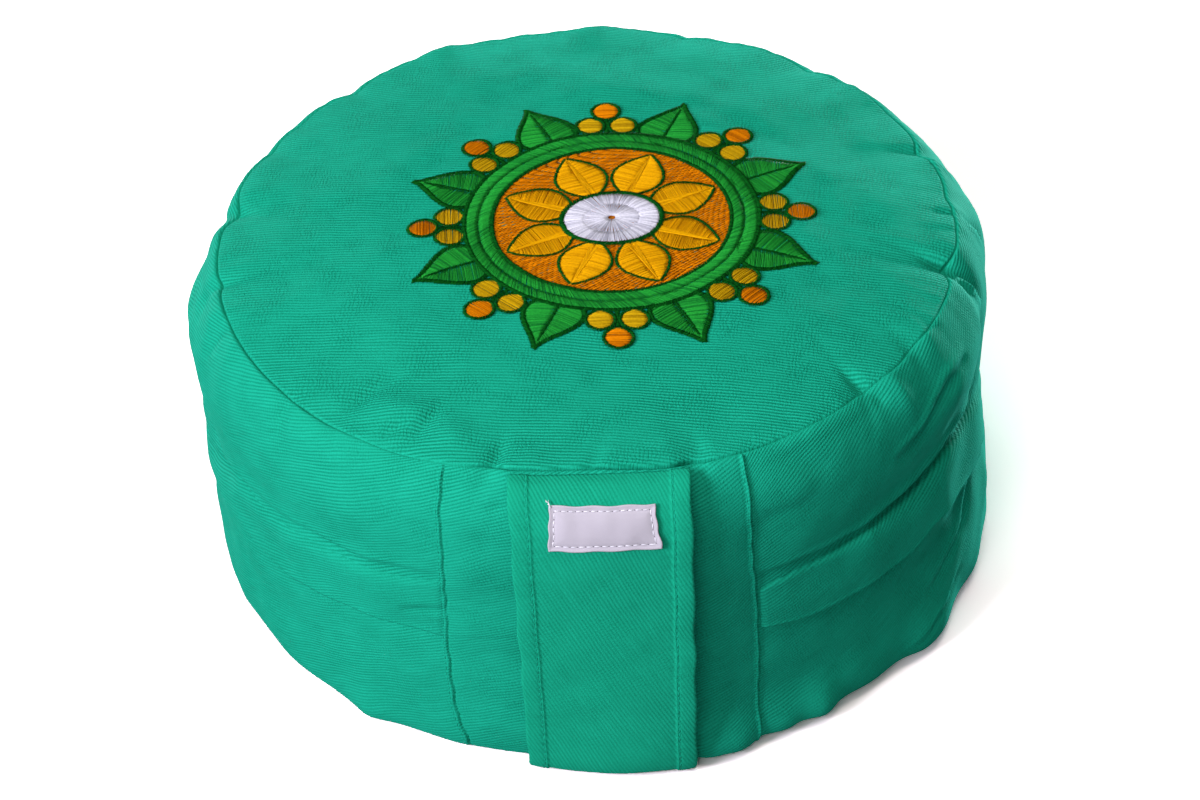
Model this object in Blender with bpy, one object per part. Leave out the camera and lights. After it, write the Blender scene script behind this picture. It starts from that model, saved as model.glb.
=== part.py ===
"""A round, drum-shaped floor cushion with a carry strap, in metres with +Z up.

The filled cushion stands on its flat base, centred on the origin. Its front, with the strap, looks along -Y.
Places round the wall are given in degrees from the front, growing towards +X.
"""

import math

import bmesh
import bpy
from mathutils import Vector

# Driving dimensions of the cushion.
WALL_RADIUS = 0.1650
TOP_SEAM_RADIUS = 0.1515
TOP_SEAM_HEIGHT = 0.1415
TOP_ROLL = 0.0014  # how far the top panel's edge stands above its seam
TOP_ROLL_SHARE = 0.008  # the roll's breadth, as a share of the seam's radius
CROWN = 0.0085
CROWN_POWER = 3.0
CROWN_EDGE_POWER = 0.75
BASE_FLAT_RADIUS = 0.1540
LEAN_X = -0.0025  # the top disc sits a little to the left of the base
COLUMNS = 120

# The two upright seams of the front panel, and their crease.
LEFT_SEAM = -23.6
RIGHT_SEAM = 20.9
UPRIGHT_SEAMS = (LEFT_SEAM, RIGHT_SEAM)
CREASE_HALF_WIDTH = 0.0022
CREASE_DEPTH = 0.0011
CREASE_START = 0.0100  # the height at which the crease is fully deep

# The flap of doubled cloth that covers the opening round the wall.
FLAP_LOW = 0.0580
FLAP_HIGH = 0.0860
FLAP_THICKNESS = 0.0014
FLAP_EDGE_THICKNESS = 0.0010
FLAP_GAP = 0.0004

# The carry strap and the label on it.
STRAP_WIDTH_TOP = 0.0700
STRAP_WIDTH_BOTTOM = 0.0665
STRAP_THICKNESS = 0.0022
STRAP_CENTRE_X = -0.0022
STRAP_HEM_WIDTH = 0.0080
STRAP_HEM_RISE = 0.0005
STRAP_HEM_STEP = 0.0012  # the breadth of the step up to the hem
STRAP_ROWS = 26
STRAP_COLUMNS = 6  # between its two hems
LABEL_WIDTH = 0.0410
LABEL_HEIGHT = 0.0215
LABEL_THICKNESS = 0.0010
LABEL_FLARE = 0.03  # how much wider its lower edge is, and narrower its upper one
LABEL_TOP = 0.0090  # down the strap from its top end
LABEL_CENTRE_X = -0.0010
LABEL_GAP = 0.0003
LABEL_ROWS = 4
LABEL_COLUMNS = 8

# The wall's section, from the base seam up to the top seam. The flap's rows are among them.
WALL_SECTION = (
    {"height": 0.0012, "radius": 0.1580},
    {"height": 0.0028, "radius": 0.1620},
    {"height": 0.0065, "radius": 0.1638},
    {"height": 0.0140, "radius": 0.1642},
    {"height": 0.0280, "radius": 0.1643},
    {"height": 0.0430, "radius": 0.1643},
    {"height": 0.0580, "radius": 0.1643},
    {"height": 0.0650, "radius": 0.1643},
    {"height": 0.0720, "radius": 0.1644},
    {"height": 0.0790, "radius": 0.1645},
    {"height": 0.0860, "radius": 0.1647},
    {"height": 0.1000, "radius": 0.1650},
    {"height": 0.1130, "radius": 0.1645},
    {"height": 0.1230, "radius": 0.1628},
    {"height": 0.1310, "radius": 0.1600},
    {"height": 0.1368, "radius": 0.1568},
    {"height": 0.1400, "radius": 0.1540},
    {"height": 0.1415, "radius": 0.1515},
)

# Rings of the top panel, as shares of the seam's radius, and of the base.
TOP_RINGS = (0.992, 0.975, 0.955, 0.925, 0.875, 0.800, 0.700, 0.575, 0.430, 0.270, 0.120)
BASE_RINGS = (0.130, 0.085, 0.035)

# Where the seam thread gathers the cloth: pull is inwards, drop is down, reach is how far it shows.
PUCKERS = (
    {"around": -158, "width": 0.010, "pull": 0.0020, "drop": 0.0010, "reach": 0.022},
    {"around": -136, "width": 0.009, "pull": 0.0025, "drop": 0.0012, "reach": 0.022},
    {"around": -113, "width": 0.008, "pull": 0.0030, "drop": 0.0015, "reach": 0.022},
    {"around": -82, "width": 0.007, "pull": 0.0036, "drop": 0.0018, "reach": 0.026},
    {"around": -41, "width": 0.013, "pull": 0.0014, "drop": 0.0012, "reach": 0.030},
    {"around": -16, "width": 0.006, "pull": 0.0026, "drop": 0.0014, "reach": 0.018},
    {"around": 14, "width": 0.006, "pull": 0.0030, "drop": 0.0020, "reach": 0.018},
    {"around": 44, "width": 0.012, "pull": 0.0022, "drop": 0.0016, "reach": 0.034},
    {"around": 57, "width": 0.009, "pull": 0.0026, "drop": 0.0016, "reach": 0.030},
    {"around": 78, "width": 0.009, "pull": 0.0048, "drop": 0.0028, "reach": 0.034},
    {"around": 96, "width": 0.008, "pull": 0.0040, "drop": 0.0024, "reach": 0.028},
    {"around": 109, "width": 0.007, "pull": 0.0034, "drop": 0.0018, "reach": 0.024},
    {"around": 126, "width": 0.009, "pull": 0.0028, "drop": 0.0014, "reach": 0.022},
    {"around": 150, "width": 0.011, "pull": 0.0020, "drop": 0.0010, "reach": 0.022},
    {"around": 173, "width": 0.010, "pull": 0.0022, "drop": 0.0010, "reach": 0.020},
)

# Soft folds of the wall. Slope is the fold line's angle above level; a fold with a negative depth is a hollow.
WALL_FOLDS = (
    {"around": 0, "height": 0.074, "slope": 0, "length": 0.034, "width": 0.0340, "depth": -0.0034},
    {"around": 50, "height": 0.094, "slope": 2, "length": 0.050, "width": 0.0090, "depth": -0.0034},
    {"around": 72, "height": 0.100, "slope": 40, "length": 0.030, "width": 0.0080, "depth": -0.0036},
    {"around": 62, "height": 0.118, "slope": 8, "length": 0.028, "width": 0.0110, "depth": 0.0022},
    {"around": 56, "height": 0.050, "slope": 10, "length": 0.034, "width": 0.0100, "depth": -0.0028},
    {"around": 76, "height": 0.040, "slope": 55, "length": 0.036, "width": 0.0085, "depth": 0.0016},
    {"around": 92, "height": 0.072, "slope": -6, "length": 0.044, "width": 0.0280, "depth": -0.0066},
    {"around": 114, "height": 0.128, "slope": 0, "length": 0.040, "width": 0.0130, "depth": 0.0026},
    {"around": 124, "height": 0.096, "slope": 12, "length": 0.044, "width": 0.0110, "depth": -0.0026},
    {"around": 150, "height": 0.046, "slope": -8, "length": 0.046, "width": 0.0120, "depth": -0.0024},
    {"around": 172, "height": 0.100, "slope": 6, "length": 0.050, "width": 0.0120, "depth": -0.0024},
    {"around": -150, "height": 0.050, "slope": 10, "length": 0.046, "width": 0.0110, "depth": -0.0024},
    {"around": -122, "height": 0.096, "slope": -8, "length": 0.046, "width": 0.0110, "depth": -0.0024},
    {"around": -114, "height": 0.130, "slope": 0, "length": 0.058, "width": 0.0140, "depth": -0.0036},
    {"around": -90, "height": 0.113, "slope": 0, "length": 0.036, "width": 0.0120, "depth": 0.0022},
    {"around": -78, "height": 0.082, "slope": -10, "length": 0.040, "width": 0.0110, "depth": -0.0026},
    {"around": -55, "height": 0.092, "slope": -2, "length": 0.050, "width": 0.0100, "depth": -0.0018},
    {"around": -28, "height": 0.066, "slope": 20, "length": 0.014, "width": 0.0070, "depth": -0.0014},
)

# Rounds of the wall's foot, where the filling pushes the cloth out, as folds that rest on the floor.
FOOT_ROUNDS = (
    {"around": 12, "height": 0.006, "slope": 0, "length": 0.010, "width": 0.0160, "depth": 0.0064},
    {"around": 24, "height": 0.006, "slope": 0, "length": 0.009, "width": 0.0140, "depth": 0.0038},
    {"around": 40, "height": 0.008, "slope": 0, "length": 0.018, "width": 0.0160, "depth": 0.0026},
    {"around": 53, "height": 0.008, "slope": 0, "length": 0.015, "width": 0.0200, "depth": 0.0048},
    {"around": 68, "height": 0.016, "slope": 0, "length": 0.020, "width": 0.0200, "depth": 0.0020},
    {"around": 110, "height": 0.010, "slope": 0, "length": 0.024, "width": 0.0180, "depth": 0.0016},
    {"around": 160, "height": 0.010, "slope": 0, "length": 0.024, "width": 0.0180, "depth": 0.0016},
    {"around": -130, "height": 0.010, "slope": 0, "length": 0.024, "width": 0.0180, "depth": 0.0016},
)
FOLD_START = 0.0040  # the height at which folds have their full depth
FOLD_END = 0.0120  # how far below the top seam they begin to fade

# Places where the lower edge lifts off the floor.
BASE_LIFTS = (
    {"around": 31, "width": 0.012, "lift": 0.0014},
    {"around": 47, "width": 0.008, "lift": 0.0030},
    {"around": 64, "width": 0.013, "lift": 0.0026},
    {"around": 100, "width": 0.018, "lift": 0.0026},
    {"around": 148, "width": 0.018, "lift": 0.0026},
    {"around": -62, "width": 0.018, "lift": 0.0018},
    {"around": -105, "width": 0.018, "lift": 0.0026},
    {"around": -148, "width": 0.018, "lift": 0.0026},
)
BASE_LIFT_REACH = 0.016

# The strap's path from the top seam down to the base, measured at its middle. Out is the distance in front of
# the cushion's axis, bow is how far its two edges bend back from there, and twist is how far its right edge
# stands in front of its left one.
STRAP_PATH = (
    {"height": 0.1412, "out": 0.1552, "bow": 0.0034, "twist": 0.0000},
    {"height": 0.1370, "out": 0.1606, "bow": 0.0030, "twist": 0.0002},
    {"height": 0.1290, "out": 0.1667, "bow": 0.0026, "twist": 0.0008},
    {"height": 0.1150, "out": 0.1709, "bow": 0.0022, "twist": 0.0018},
    {"height": 0.0950, "out": 0.1729, "bow": 0.0020, "twist": 0.0028},
    {"height": 0.0720, "out": 0.1737, "bow": 0.0020, "twist": 0.0034},
    {"height": 0.0480, "out": 0.1738, "bow": 0.0022, "twist": 0.0042},
    {"height": 0.0280, "out": 0.1737, "bow": 0.0030, "twist": 0.0050},
    {"height": 0.0130, "out": 0.1731, "bow": 0.0044, "twist": 0.0060},
    {"height": 0.0055, "out": 0.1715, "bow": 0.0052, "twist": 0.0064},
    {"height": 0.0024, "out": 0.1682, "bow": 0.0052, "twist": 0.0064},
)
BOW_POWER = 2.0

# Finishes.
CLOTH_GREEN = (0.012, 0.440, 0.300, 1.0)
LABEL_WHITE = (0.720, 0.690, 0.760, 1.0)
CLOTH_ROUGHNESS = 0.85
LABEL_ROUGHNESS = 0.60


def clear_scene():
    """Removes what a new Blender file starts with."""
    for old in list(bpy.data.objects):
        bpy.data.objects.remove(old)


def bell(distance, width):
    """1 at distance 0, fading smoothly to 0 over about two widths."""
    return math.exp(-((distance / width) ** 2))


def along_wall(around, other):
    """The distance along the wall between two places round it, the shorter way."""
    turn = (around - other + 180.0) % 360.0 - 180.0
    return math.radians(turn) * WALL_RADIUS


def wall_radius(height):
    """The wall's plain radius at a height, on straight lines between the rows of its section."""
    for low, high in zip(WALL_SECTION, WALL_SECTION[1:]):
        if height <= high["height"]:
            share = (height - low["height"]) / (high["height"] - low["height"])
            return low["radius"] + share * (high["radius"] - low["radius"])
    return TOP_SEAM_RADIUS


def pucker(around, from_seam):
    """How far the gathers near the top seam pull a point inwards and down."""
    inwards = down = 0.0
    for row in PUCKERS:
        share = bell(along_wall(around, row["around"]), row["width"]) * math.exp(-2.0 * from_seam / row["reach"])
        inwards += row["pull"] * share
        down += row["drop"] * share
    return inwards, down


def fold(around, height):
    """How far the soft folds and the rounds of the foot move a point of the wall outwards."""
    outwards = 0.0
    for row in WALL_FOLDS + FOOT_ROUNDS:
        level = along_wall(around, row["around"])
        rise = height - row["height"]
        slope = math.radians(row["slope"])
        lengthways = level * math.cos(slope) + rise * math.sin(slope)
        across = rise * math.cos(slope) - level * math.sin(slope)
        outwards += row["depth"] * bell(lengthways, row["length"]) * bell(across, row["width"])
    fade = min(1.0, height / FOLD_START, (TOP_SEAM_HEIGHT - height) / FOLD_END)
    return outwards * max(0.0, fade)


def upright_crease(around, height):
    """How deep the crease of the nearest upright seam is at a point of the wall."""
    nearest = min(abs(along_wall(around, seam)) for seam in UPRIGHT_SEAMS)
    return CREASE_DEPTH * max(0.0, 1.0 - nearest / CREASE_HALF_WIDTH) * min(1.0, height / CREASE_START)


def base_lift(around, height):
    """How far the lower edge is raised off the floor."""
    lift = sum(row["lift"] * bell(along_wall(around, row["around"]), row["width"]) for row in BASE_LIFTS)
    return lift * math.exp(-height / BASE_LIFT_REACH)


def place(around, radius, height):
    """A point from its place round the cushion, with the lean of the upper part."""
    angle = math.radians(around)
    lean = LEAN_X * min(1.0, height / TOP_SEAM_HEIGHT)
    return Vector((radius * math.sin(angle) + lean, -radius * math.cos(angle), height))


def wall_point(around, height, outwards=0.0):
    """A point of the wall, moved outwards by a distance."""
    radius = wall_radius(height) + fold(around, height) - upright_crease(around, height) + outwards
    inwards, down = pucker(around, TOP_SEAM_HEIGHT - height)
    return place(around, radius - inwards, height - down + base_lift(around, height))


def top_point(around, share):
    """A point of the top panel, at a share of the seam's radius."""
    roll = TOP_ROLL * min(1.0, (1.0 - share) / TOP_ROLL_SHARE)
    rise = roll + (CROWN - TOP_ROLL) * (1.0 - share**CROWN_POWER) ** CROWN_EDGE_POWER
    inwards, down = pucker(around, TOP_SEAM_RADIUS * (1.0 - share))
    return place(around, TOP_SEAM_RADIUS * share - inwards, TOP_SEAM_HEIGHT + rise - down)


def wall_columns():
    """Places round the cushion for its columns of points, closer together at the upright seams."""
    edge = math.degrees(CREASE_HALF_WIDTH / WALL_RADIUS)
    seams = [seam + side * edge for seam in UPRIGHT_SEAMS for side in (-1, 0, 1)]
    even = [360.0 * n / COLUMNS - 180.0 for n in range(COLUMNS)]
    clear = [around for around in even if min(abs(around - seam) for seam in seams) > edge]
    return sorted(clear + seams)


def join_rings(mesh, lower, upper):
    """Faces between two closed rings of points, looking outwards when the second is above the first."""
    count = len(lower)
    for n in range(count):
        after = (n + 1) % count
        mesh.faces.new((lower[n], lower[after], upper[after], upper[n]))


def close_ring(mesh, ring, centre, looks_up):
    """Fills a ring with triangles to a centre point."""
    middle = mesh.verts.new(centre)
    count = len(ring)
    for n in range(count):
        after = (n + 1) % count
        corner = (ring[n], ring[after], middle) if looks_up else (ring[after], ring[n], middle)
        mesh.faces.new(corner)


def closed_sheet(mesh, inner, outer):
    """Joins two matching grids of points, an inner and an outer one, into a closed sheet."""
    rows, columns = len(inner), len(inner[0])
    for r in range(rows - 1):
        for c in range(columns - 1):
            mesh.faces.new((outer[r][c], outer[r][c + 1], outer[r + 1][c + 1], outer[r + 1][c]))
            mesh.faces.new((inner[r + 1][c], inner[r + 1][c + 1], inner[r][c + 1], inner[r][c]))
    for c in range(columns - 1):
        for r in (0, rows - 1):
            mesh.faces.new((inner[r][c], inner[r][c + 1], outer[r][c + 1], outer[r][c]))
    for r in range(rows - 1):
        for c in (0, columns - 1):
            mesh.faces.new((inner[r][c], inner[r + 1][c], outer[r + 1][c], outer[r][c]))


def finish_object(name, mesh, finish, smooth_angle):
    """Turns a bmesh into a named object with its material."""
    data = bpy.data.meshes.new(name)
    bmesh.ops.recalc_face_normals(mesh, faces=mesh.faces[:])
    mesh.to_mesh(data)
    mesh.free()
    data.shade_smooth()
    data.set_sharp_from_angle(angle=math.radians(smooth_angle))
    data.materials.append(finish)
    made = bpy.data.objects.new(name, data)
    bpy.context.scene.collection.objects.link(made)
    return made


def make_finish(name, colour, roughness):
    """A plain cloth material."""
    finish = bpy.data.materials.new(name)
    finish.use_nodes = True
    shader = finish.node_tree.nodes["Principled BSDF"]
    shader.inputs["Base Color"].default_value = colour
    shader.inputs["Roughness"].default_value = roughness
    shader.inputs["Metallic"].default_value = 0.0
    return finish


def build_cushion(finish):
    """The filled cushion: base, wall and crowned top in one closed form."""
    mesh = bmesh.new()
    columns = wall_columns()

    def ring(point, level):
        return [mesh.verts.new(point(around, level)) for around in columns]

    def flat_base(around, radius):
        return place(around, radius, 0.0)

    rings = [ring(flat_base, radius) for radius in (*reversed(BASE_RINGS), BASE_FLAT_RADIUS)]
    rings += [ring(wall_point, row["height"]) for row in WALL_SECTION]
    rings += [ring(top_point, share) for share in TOP_RINGS]
    for lower, upper in zip(rings, rings[1:]):
        join_rings(mesh, lower, upper)
    close_ring(mesh, rings[0], (0.0, 0.0, 0.0), looks_up=False)
    close_ring(mesh, rings[-1], top_point(0.0, 0.0), looks_up=True)
    return finish_object("cushion", mesh, finish, smooth_angle=60.0)


def build_flap(finish):
    """The flap round the wall, between the two upright seams, on the wall's own rows and columns."""
    mesh = bmesh.new()
    edge = math.degrees(CREASE_HALF_WIDTH / WALL_RADIUS)
    start = RIGHT_SEAM + edge
    end = LEFT_SEAM + 360.0 - edge
    turned = sorted((around - start) % 360.0 for around in wall_columns())
    places = [start + turn for turn in turned if turn <= end - start + 1e-6]
    heights = [row["height"] for row in WALL_SECTION if FLAP_LOW <= row["height"] <= FLAP_HIGH]
    inner, outer = [], []
    for height in reversed(heights):
        thickness = FLAP_EDGE_THICKNESS if height in (FLAP_LOW, FLAP_HIGH) else FLAP_THICKNESS
        inner.append([mesh.verts.new(wall_point(p, height, FLAP_GAP)) for p in places])
        outer.append([mesh.verts.new(wall_point(p, height, FLAP_GAP + thickness)) for p in places])
    closed_sheet(mesh, inner, outer)
    return finish_object("zip_flap", mesh, finish, smooth_angle=50.0)


def curve_through(values, share):
    """A smooth value at a share of the way along a list, through every item."""
    reach = share * (len(values) - 1)
    at = min(int(reach), len(values) - 2)
    t = reach - at
    before, a, b, after = (values[min(max(n, 0), len(values) - 1)] for n in (at - 1, at, at + 1, at + 2))
    bend = (2 * before - 5 * a + 4 * b - after) * t * t + (3 * a - before - 3 * b + after) * t**3
    return 0.5 * (2 * a + (b - before) * t + bend)


def strap_path(way):
    """The strap's out, height, bow and twist at a way from 0 to 1 through the rows of its path."""
    return [curve_through([row[name] for row in STRAP_PATH], way) for name in ("out", "height", "bow", "twist")]


def strap_ways(steps=240):
    """The length down the strap's middle at even steps of way, from its top end."""
    lengths = [0.0]
    for n in range(steps):
        above, below = strap_path(n / steps), strap_path((n + 1) / steps)
        lengths.append(lengths[-1] + math.hypot(below[0] - above[0], below[1] - above[1]))
    return lengths


STRAP_LENGTHS = strap_ways()


def strap_middle(x, down):
    """A point of the strap's middle layer, at x from its centre line and a length down it."""
    steps = len(STRAP_LENGTHS) - 1
    after = next((n for n, length in enumerate(STRAP_LENGTHS) if length >= down and n > 0), steps)
    span = STRAP_LENGTHS[after] - STRAP_LENGTHS[after - 1]
    way = (after - 1 + (down - STRAP_LENGTHS[after - 1]) / span) / steps
    out, height, bow, twist = strap_path(min(1.0, way))
    across = 2.0 * x / STRAP_WIDTH_TOP
    return Vector((STRAP_CENTRE_X + x, bow * abs(across) ** BOW_POWER - 0.5 * twist * across - out, height))


def strap_point(x, down, raised):
    """A point of the strap, at x from its centre line and a length down it, raised off its middle layer."""
    step = 0.0005
    above = strap_middle(x, max(0.0, down - step))
    below = strap_middle(x, min(STRAP_LENGTHS[-1], down + step))
    outward = Vector((0.0, below.z - above.z, above.y - below.y)).normalized()
    return strap_middle(x, down) + outward * raised


def build_strap(finish):
    """The broad carry strap, sewn in at the top seam and the base, with a turned hem down each side."""
    mesh = bmesh.new()
    half = 0.5 * STRAP_THICKNESS
    inner, outer = [], []
    for r in range(STRAP_ROWS + 1):
        share = r / STRAP_ROWS
        down = share * STRAP_LENGTHS[-1]
        edge = 0.5 * (STRAP_WIDTH_TOP + (STRAP_WIDTH_BOTTOM - STRAP_WIDTH_TOP) * share)
        hem = edge - STRAP_HEM_WIDTH
        between = [(hem * (2.0 * c / STRAP_COLUMNS - 1.0), 0.0) for c in range(STRAP_COLUMNS + 1)]
        right_hem = [(hem + STRAP_HEM_STEP, STRAP_HEM_RISE), (edge, STRAP_HEM_RISE)]
        left_hem = [(-x, rise) for x, rise in reversed(right_hem)]
        across = left_hem + between + right_hem
        inner.append([mesh.verts.new(strap_point(x, down, -half)) for x, _ in across])
        outer.append([mesh.verts.new(strap_point(x, down, half + rise)) for x, rise in across])
    closed_sheet(mesh, inner, outer)
    return finish_object("carry_strap", mesh, finish, smooth_angle=50.0)


def build_label(finish):
    """The blank woven label, stitched near the strap's top."""
    mesh = bmesh.new()
    lift = 0.5 * STRAP_THICKNESS + LABEL_GAP
    inner, outer = [], []
    for r in range(LABEL_ROWS + 1):
        share = r / LABEL_ROWS
        down = LABEL_TOP + LABEL_HEIGHT * share
        breadth = LABEL_WIDTH * (1.0 + LABEL_FLARE * (2.0 * share - 1.0))
        places = [LABEL_CENTRE_X + breadth * (c / LABEL_COLUMNS - 0.5) for c in range(LABEL_COLUMNS + 1)]
        inner.append([mesh.verts.new(strap_point(x, down, lift)) for x in places])
        outer.append([mesh.verts.new(strap_point(x, down, lift + LABEL_THICKNESS)) for x in places])
    closed_sheet(mesh, inner, outer)
    return finish_object("label", mesh, finish, smooth_angle=40.0)


clear_scene()
cloth = make_finish("green_twill", CLOTH_GREEN, CLOTH_ROUGHNESS)
tape = make_finish("white_label_tape", LABEL_WHITE, LABEL_ROUGHNESS)
build_cushion(cloth)
build_flap(cloth)
build_strap(cloth)
build_label(tape)
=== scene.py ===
# %% [markdown]
# # A round sitting cushion in green twill
#
# The real object is a drum of cotton twill, packed tight with husk: a round top, a wall in two
# lengths, a round base, a lap of doubled cloth round the wall, a broad carry strap with a small
# woven label, and an embroidered medallion on the top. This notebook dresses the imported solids
# one piece at a time. Every length is in metres unless a name or a table says millimetres, the
# cushion stands on z = 0, and its strap looks along -Y.

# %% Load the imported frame
import math
from collections import namedtuple

import bmesh
import bpy
import numpy as np
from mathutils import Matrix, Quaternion, Vector
from mathutils.bvhtree import BVHTree


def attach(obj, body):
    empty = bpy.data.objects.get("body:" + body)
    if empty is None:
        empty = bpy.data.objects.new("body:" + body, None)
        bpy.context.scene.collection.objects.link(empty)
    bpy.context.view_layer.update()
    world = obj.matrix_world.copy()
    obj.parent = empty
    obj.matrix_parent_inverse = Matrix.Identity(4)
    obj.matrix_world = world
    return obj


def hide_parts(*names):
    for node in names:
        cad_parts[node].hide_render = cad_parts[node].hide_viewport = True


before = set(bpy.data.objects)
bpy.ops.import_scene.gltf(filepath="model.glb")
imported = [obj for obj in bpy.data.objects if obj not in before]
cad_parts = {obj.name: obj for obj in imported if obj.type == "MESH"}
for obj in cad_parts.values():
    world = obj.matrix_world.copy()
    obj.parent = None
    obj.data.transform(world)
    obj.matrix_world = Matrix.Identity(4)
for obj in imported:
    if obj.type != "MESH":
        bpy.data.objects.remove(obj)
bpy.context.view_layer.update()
MM = 0.001
print("packed pieces:", sorted(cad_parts))

# %% [markdown]
# ## The camera
#
# A long lens looks down on the cushion from the front. Its place was worked out from the ring of
# the top seam and from the outline, so the height, the tilt and the distance belong together:
# change one and the drum looks too tall or too flat. A camera is aimed with a quaternion that
# turns its -Z axis to the target, and a small roll on top.

# %% Camera
CAMERA_TARGET = Vector((-0.00015, 0.0, 0.05526))
CAMERA_ELEVATION = math.radians(39.35)
CAMERA_DISTANCE = 1.665
CAMERA_ROLL = -0.0505
CAMERA_LENS_MM = 117.78


def make_camera():
    """The scene's camera, in front of the cushion and above it."""
    data = bpy.data.cameras.new("camera")
    data.lens = CAMERA_LENS_MM
    camera = bpy.data.objects.new("camera", data)
    back = Vector((0.0, -math.cos(CAMERA_ELEVATION), math.sin(CAMERA_ELEVATION)))
    camera.location = CAMERA_TARGET + back * CAMERA_DISTANCE
    camera.rotation_mode = "QUATERNION"
    aim = (-back).to_track_quat("-Z", "Y")
    camera.rotation_quaternion = aim @ Quaternion((0, 0, 1), CAMERA_ROLL)
    bpy.context.scene.collection.objects.link(camera)
    bpy.context.scene.camera = camera
    return camera


camera = make_camera()
print("camera at", [round(value, 3) for value in camera.location])

# %% [markdown]
# ## The studio
#
# A large key light stands low on the left, with a weaker one towards the front, and a broad weak
# one hangs overhead: the cloth is bright on the left, even on top and deep green on the right,
# where the light from above brings out the folds. Two small low lamps behind draw a thin bright
# edge on either side. These are area lights, because their size sets how soft a shadow is. The
# backdrop is burnt out, as in studio shots: to the camera the floor is far brighter than it is to
# the cloth, so that only the deepest shadow is left of it. It is also slightly red to the camera,
# against the green light that the cushion throws on it. The Standard view keeps the greens
# strong.

# %% Lights and world
Lamp = namedtuple("Lamp", "name place size power colour")
LAMPS = (
    Lamp("key", (-1.64, -1.25, 1.25), 0.85, 61.0, (1.0, 0.99, 1.09)),
    Lamp("front", (-0.50, -1.95, 1.45), 1.00, 11.5, (1.0, 1.0, 1.02)),
    Lamp("overhead", (0.18, -0.10, 2.20), 1.10, 22.0, (1.0, 1.0, 0.93)),
    Lamp("right_edge", (1.25, 1.70, 0.07), 0.12, 78.0, (1.0, 1.0, 1.15)),
    Lamp("left_edge", (-1.00, 1.88, 0.07), 0.12, 20.0, (1.0, 1.0, 1.15)),
)
LIGHTS_AIM = Vector((0.0, 0.0, 0.07))
WORLD_STRENGTH = 0.07
FLOOR_SEEN = (1.72, 1.54, 1.58, 1.0)
FLOOR_LIT = (0.36, 0.36, 0.37, 1.0)
FLOOR_SIZE = 12.0


def make_lamp(row):
    """A square area light that looks at the cushion."""
    data = bpy.data.lights.new(row.name, "AREA")
    data.size = row.size
    data.energy = row.power
    data.color = row.colour
    lamp = bpy.data.objects.new(row.name, data)
    lamp.location = row.place
    lamp.rotation_euler = (LIGHTS_AIM - lamp.location).to_track_quat("-Z", "Y").to_euler()
    bpy.context.scene.collection.objects.link(lamp)


def make_world():
    """A weak white light from all sides."""
    world = bpy.data.worlds.new("studio")
    world.use_nodes = True
    world.node_tree.nodes["Background"].inputs["Color"].default_value = (1.0, 1.0, 1.0, 1.0)
    world.node_tree.nodes["Background"].inputs["Strength"].default_value = WORLD_STRENGTH
    bpy.context.scene.world = world


for row in LAMPS:
    make_lamp(row)
make_world()
bpy.context.scene.view_settings.view_transform = "Standard"
print("lights:", [row.name for row in LAMPS])

# %% [markdown]
# ## Small tools for shader nodes
#
# A material in Blender is a graph. A few helpers keep the graphs short to write: `put` adds a
# node and fills its inputs with values or with other nodes' outputs, and `calc` adds one Math
# node and hands back its result.


# %% Node helpers
def feed(tree, node, inputs):
    """Gives a node's inputs, by name or number, their values or links."""
    for key, value in inputs.items():
        if isinstance(value, bpy.types.NodeSocket):
            tree.links.new(value, node.inputs[key])
        else:
            node.inputs[key].default_value = value


def put(tree, kind, inputs=None, **settings):
    """Adds a node of a kind, with its settings, and feeds its inputs."""
    made = tree.nodes.new(kind)
    for name, value in settings.items():
        setattr(made, name, value)
    feed(tree, made, inputs or {})
    return made


def calc(tree, operation, *values):
    """Adds a Math node and returns its output."""
    return put(tree, "ShaderNodeMath", dict(enumerate(values)), operation=operation).outputs[0]


def mix_colour(tree, factor, first, second):
    """Adds a colour Mix node and returns its output."""
    return put(tree, "ShaderNodeMix", {0: factor, 6: first, 7: second}, data_type="RGBA").outputs[2]


def noise(tree, vector, scale, detail=2.0):
    """Adds a Noise node and returns its value, which keeps near a half."""
    inputs = {"Vector": vector, "Scale": scale, "Detail": detail}
    return put(tree, "ShaderNodeTexNoise", inputs).outputs["Fac"]


def remap(tree, value, low, high, start, end):
    """Adds a clamped Map Range node and returns its output."""
    inputs = dict(enumerate((value, low, high, start, end)))
    return put(tree, "ShaderNodeMapRange", inputs, clamp=True).outputs[0]


def clamp(tree, value):
    """Keeps a value between 0 and 1."""
    return put(tree, "ShaderNodeClamp", {0: value}).outputs[0]


def bump(tree, height, relief):
    """Adds a Bump node of a relief in metres and returns its output."""
    inputs = {"Height": height, "Distance": relief, "Strength": 1.0}
    return put(tree, "ShaderNodeBump", inputs).outputs[0]


def about_half(tree, value, strength):
    """How far a value is from a half, times a strength."""
    return calc(tree, "MULTIPLY", calc(tree, "SUBTRACT", value, 0.5), strength)


def new_group(name, inputs, outputs):
    """A shader node group with named sockets, its given values and its node for the results.

    Inputs are (name, kind, value) and outputs (name, kind).
    """
    group = bpy.data.node_groups.new(name, "ShaderNodeTree")
    for title, kind, value in inputs:
        socket = group.interface.new_socket(name=title, in_out="INPUT", socket_type=kind)
        if value is not None:
            socket.default_value = value
    for title, kind in outputs:
        group.interface.new_socket(name=title, in_out="OUTPUT", socket_type=kind)
    given = group.nodes.new("NodeGroupInput").outputs
    return group, given, group.nodes.new("NodeGroupOutput")


FLOAT = "NodeSocketFloat"
VECTOR = "NodeSocketVector"


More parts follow.
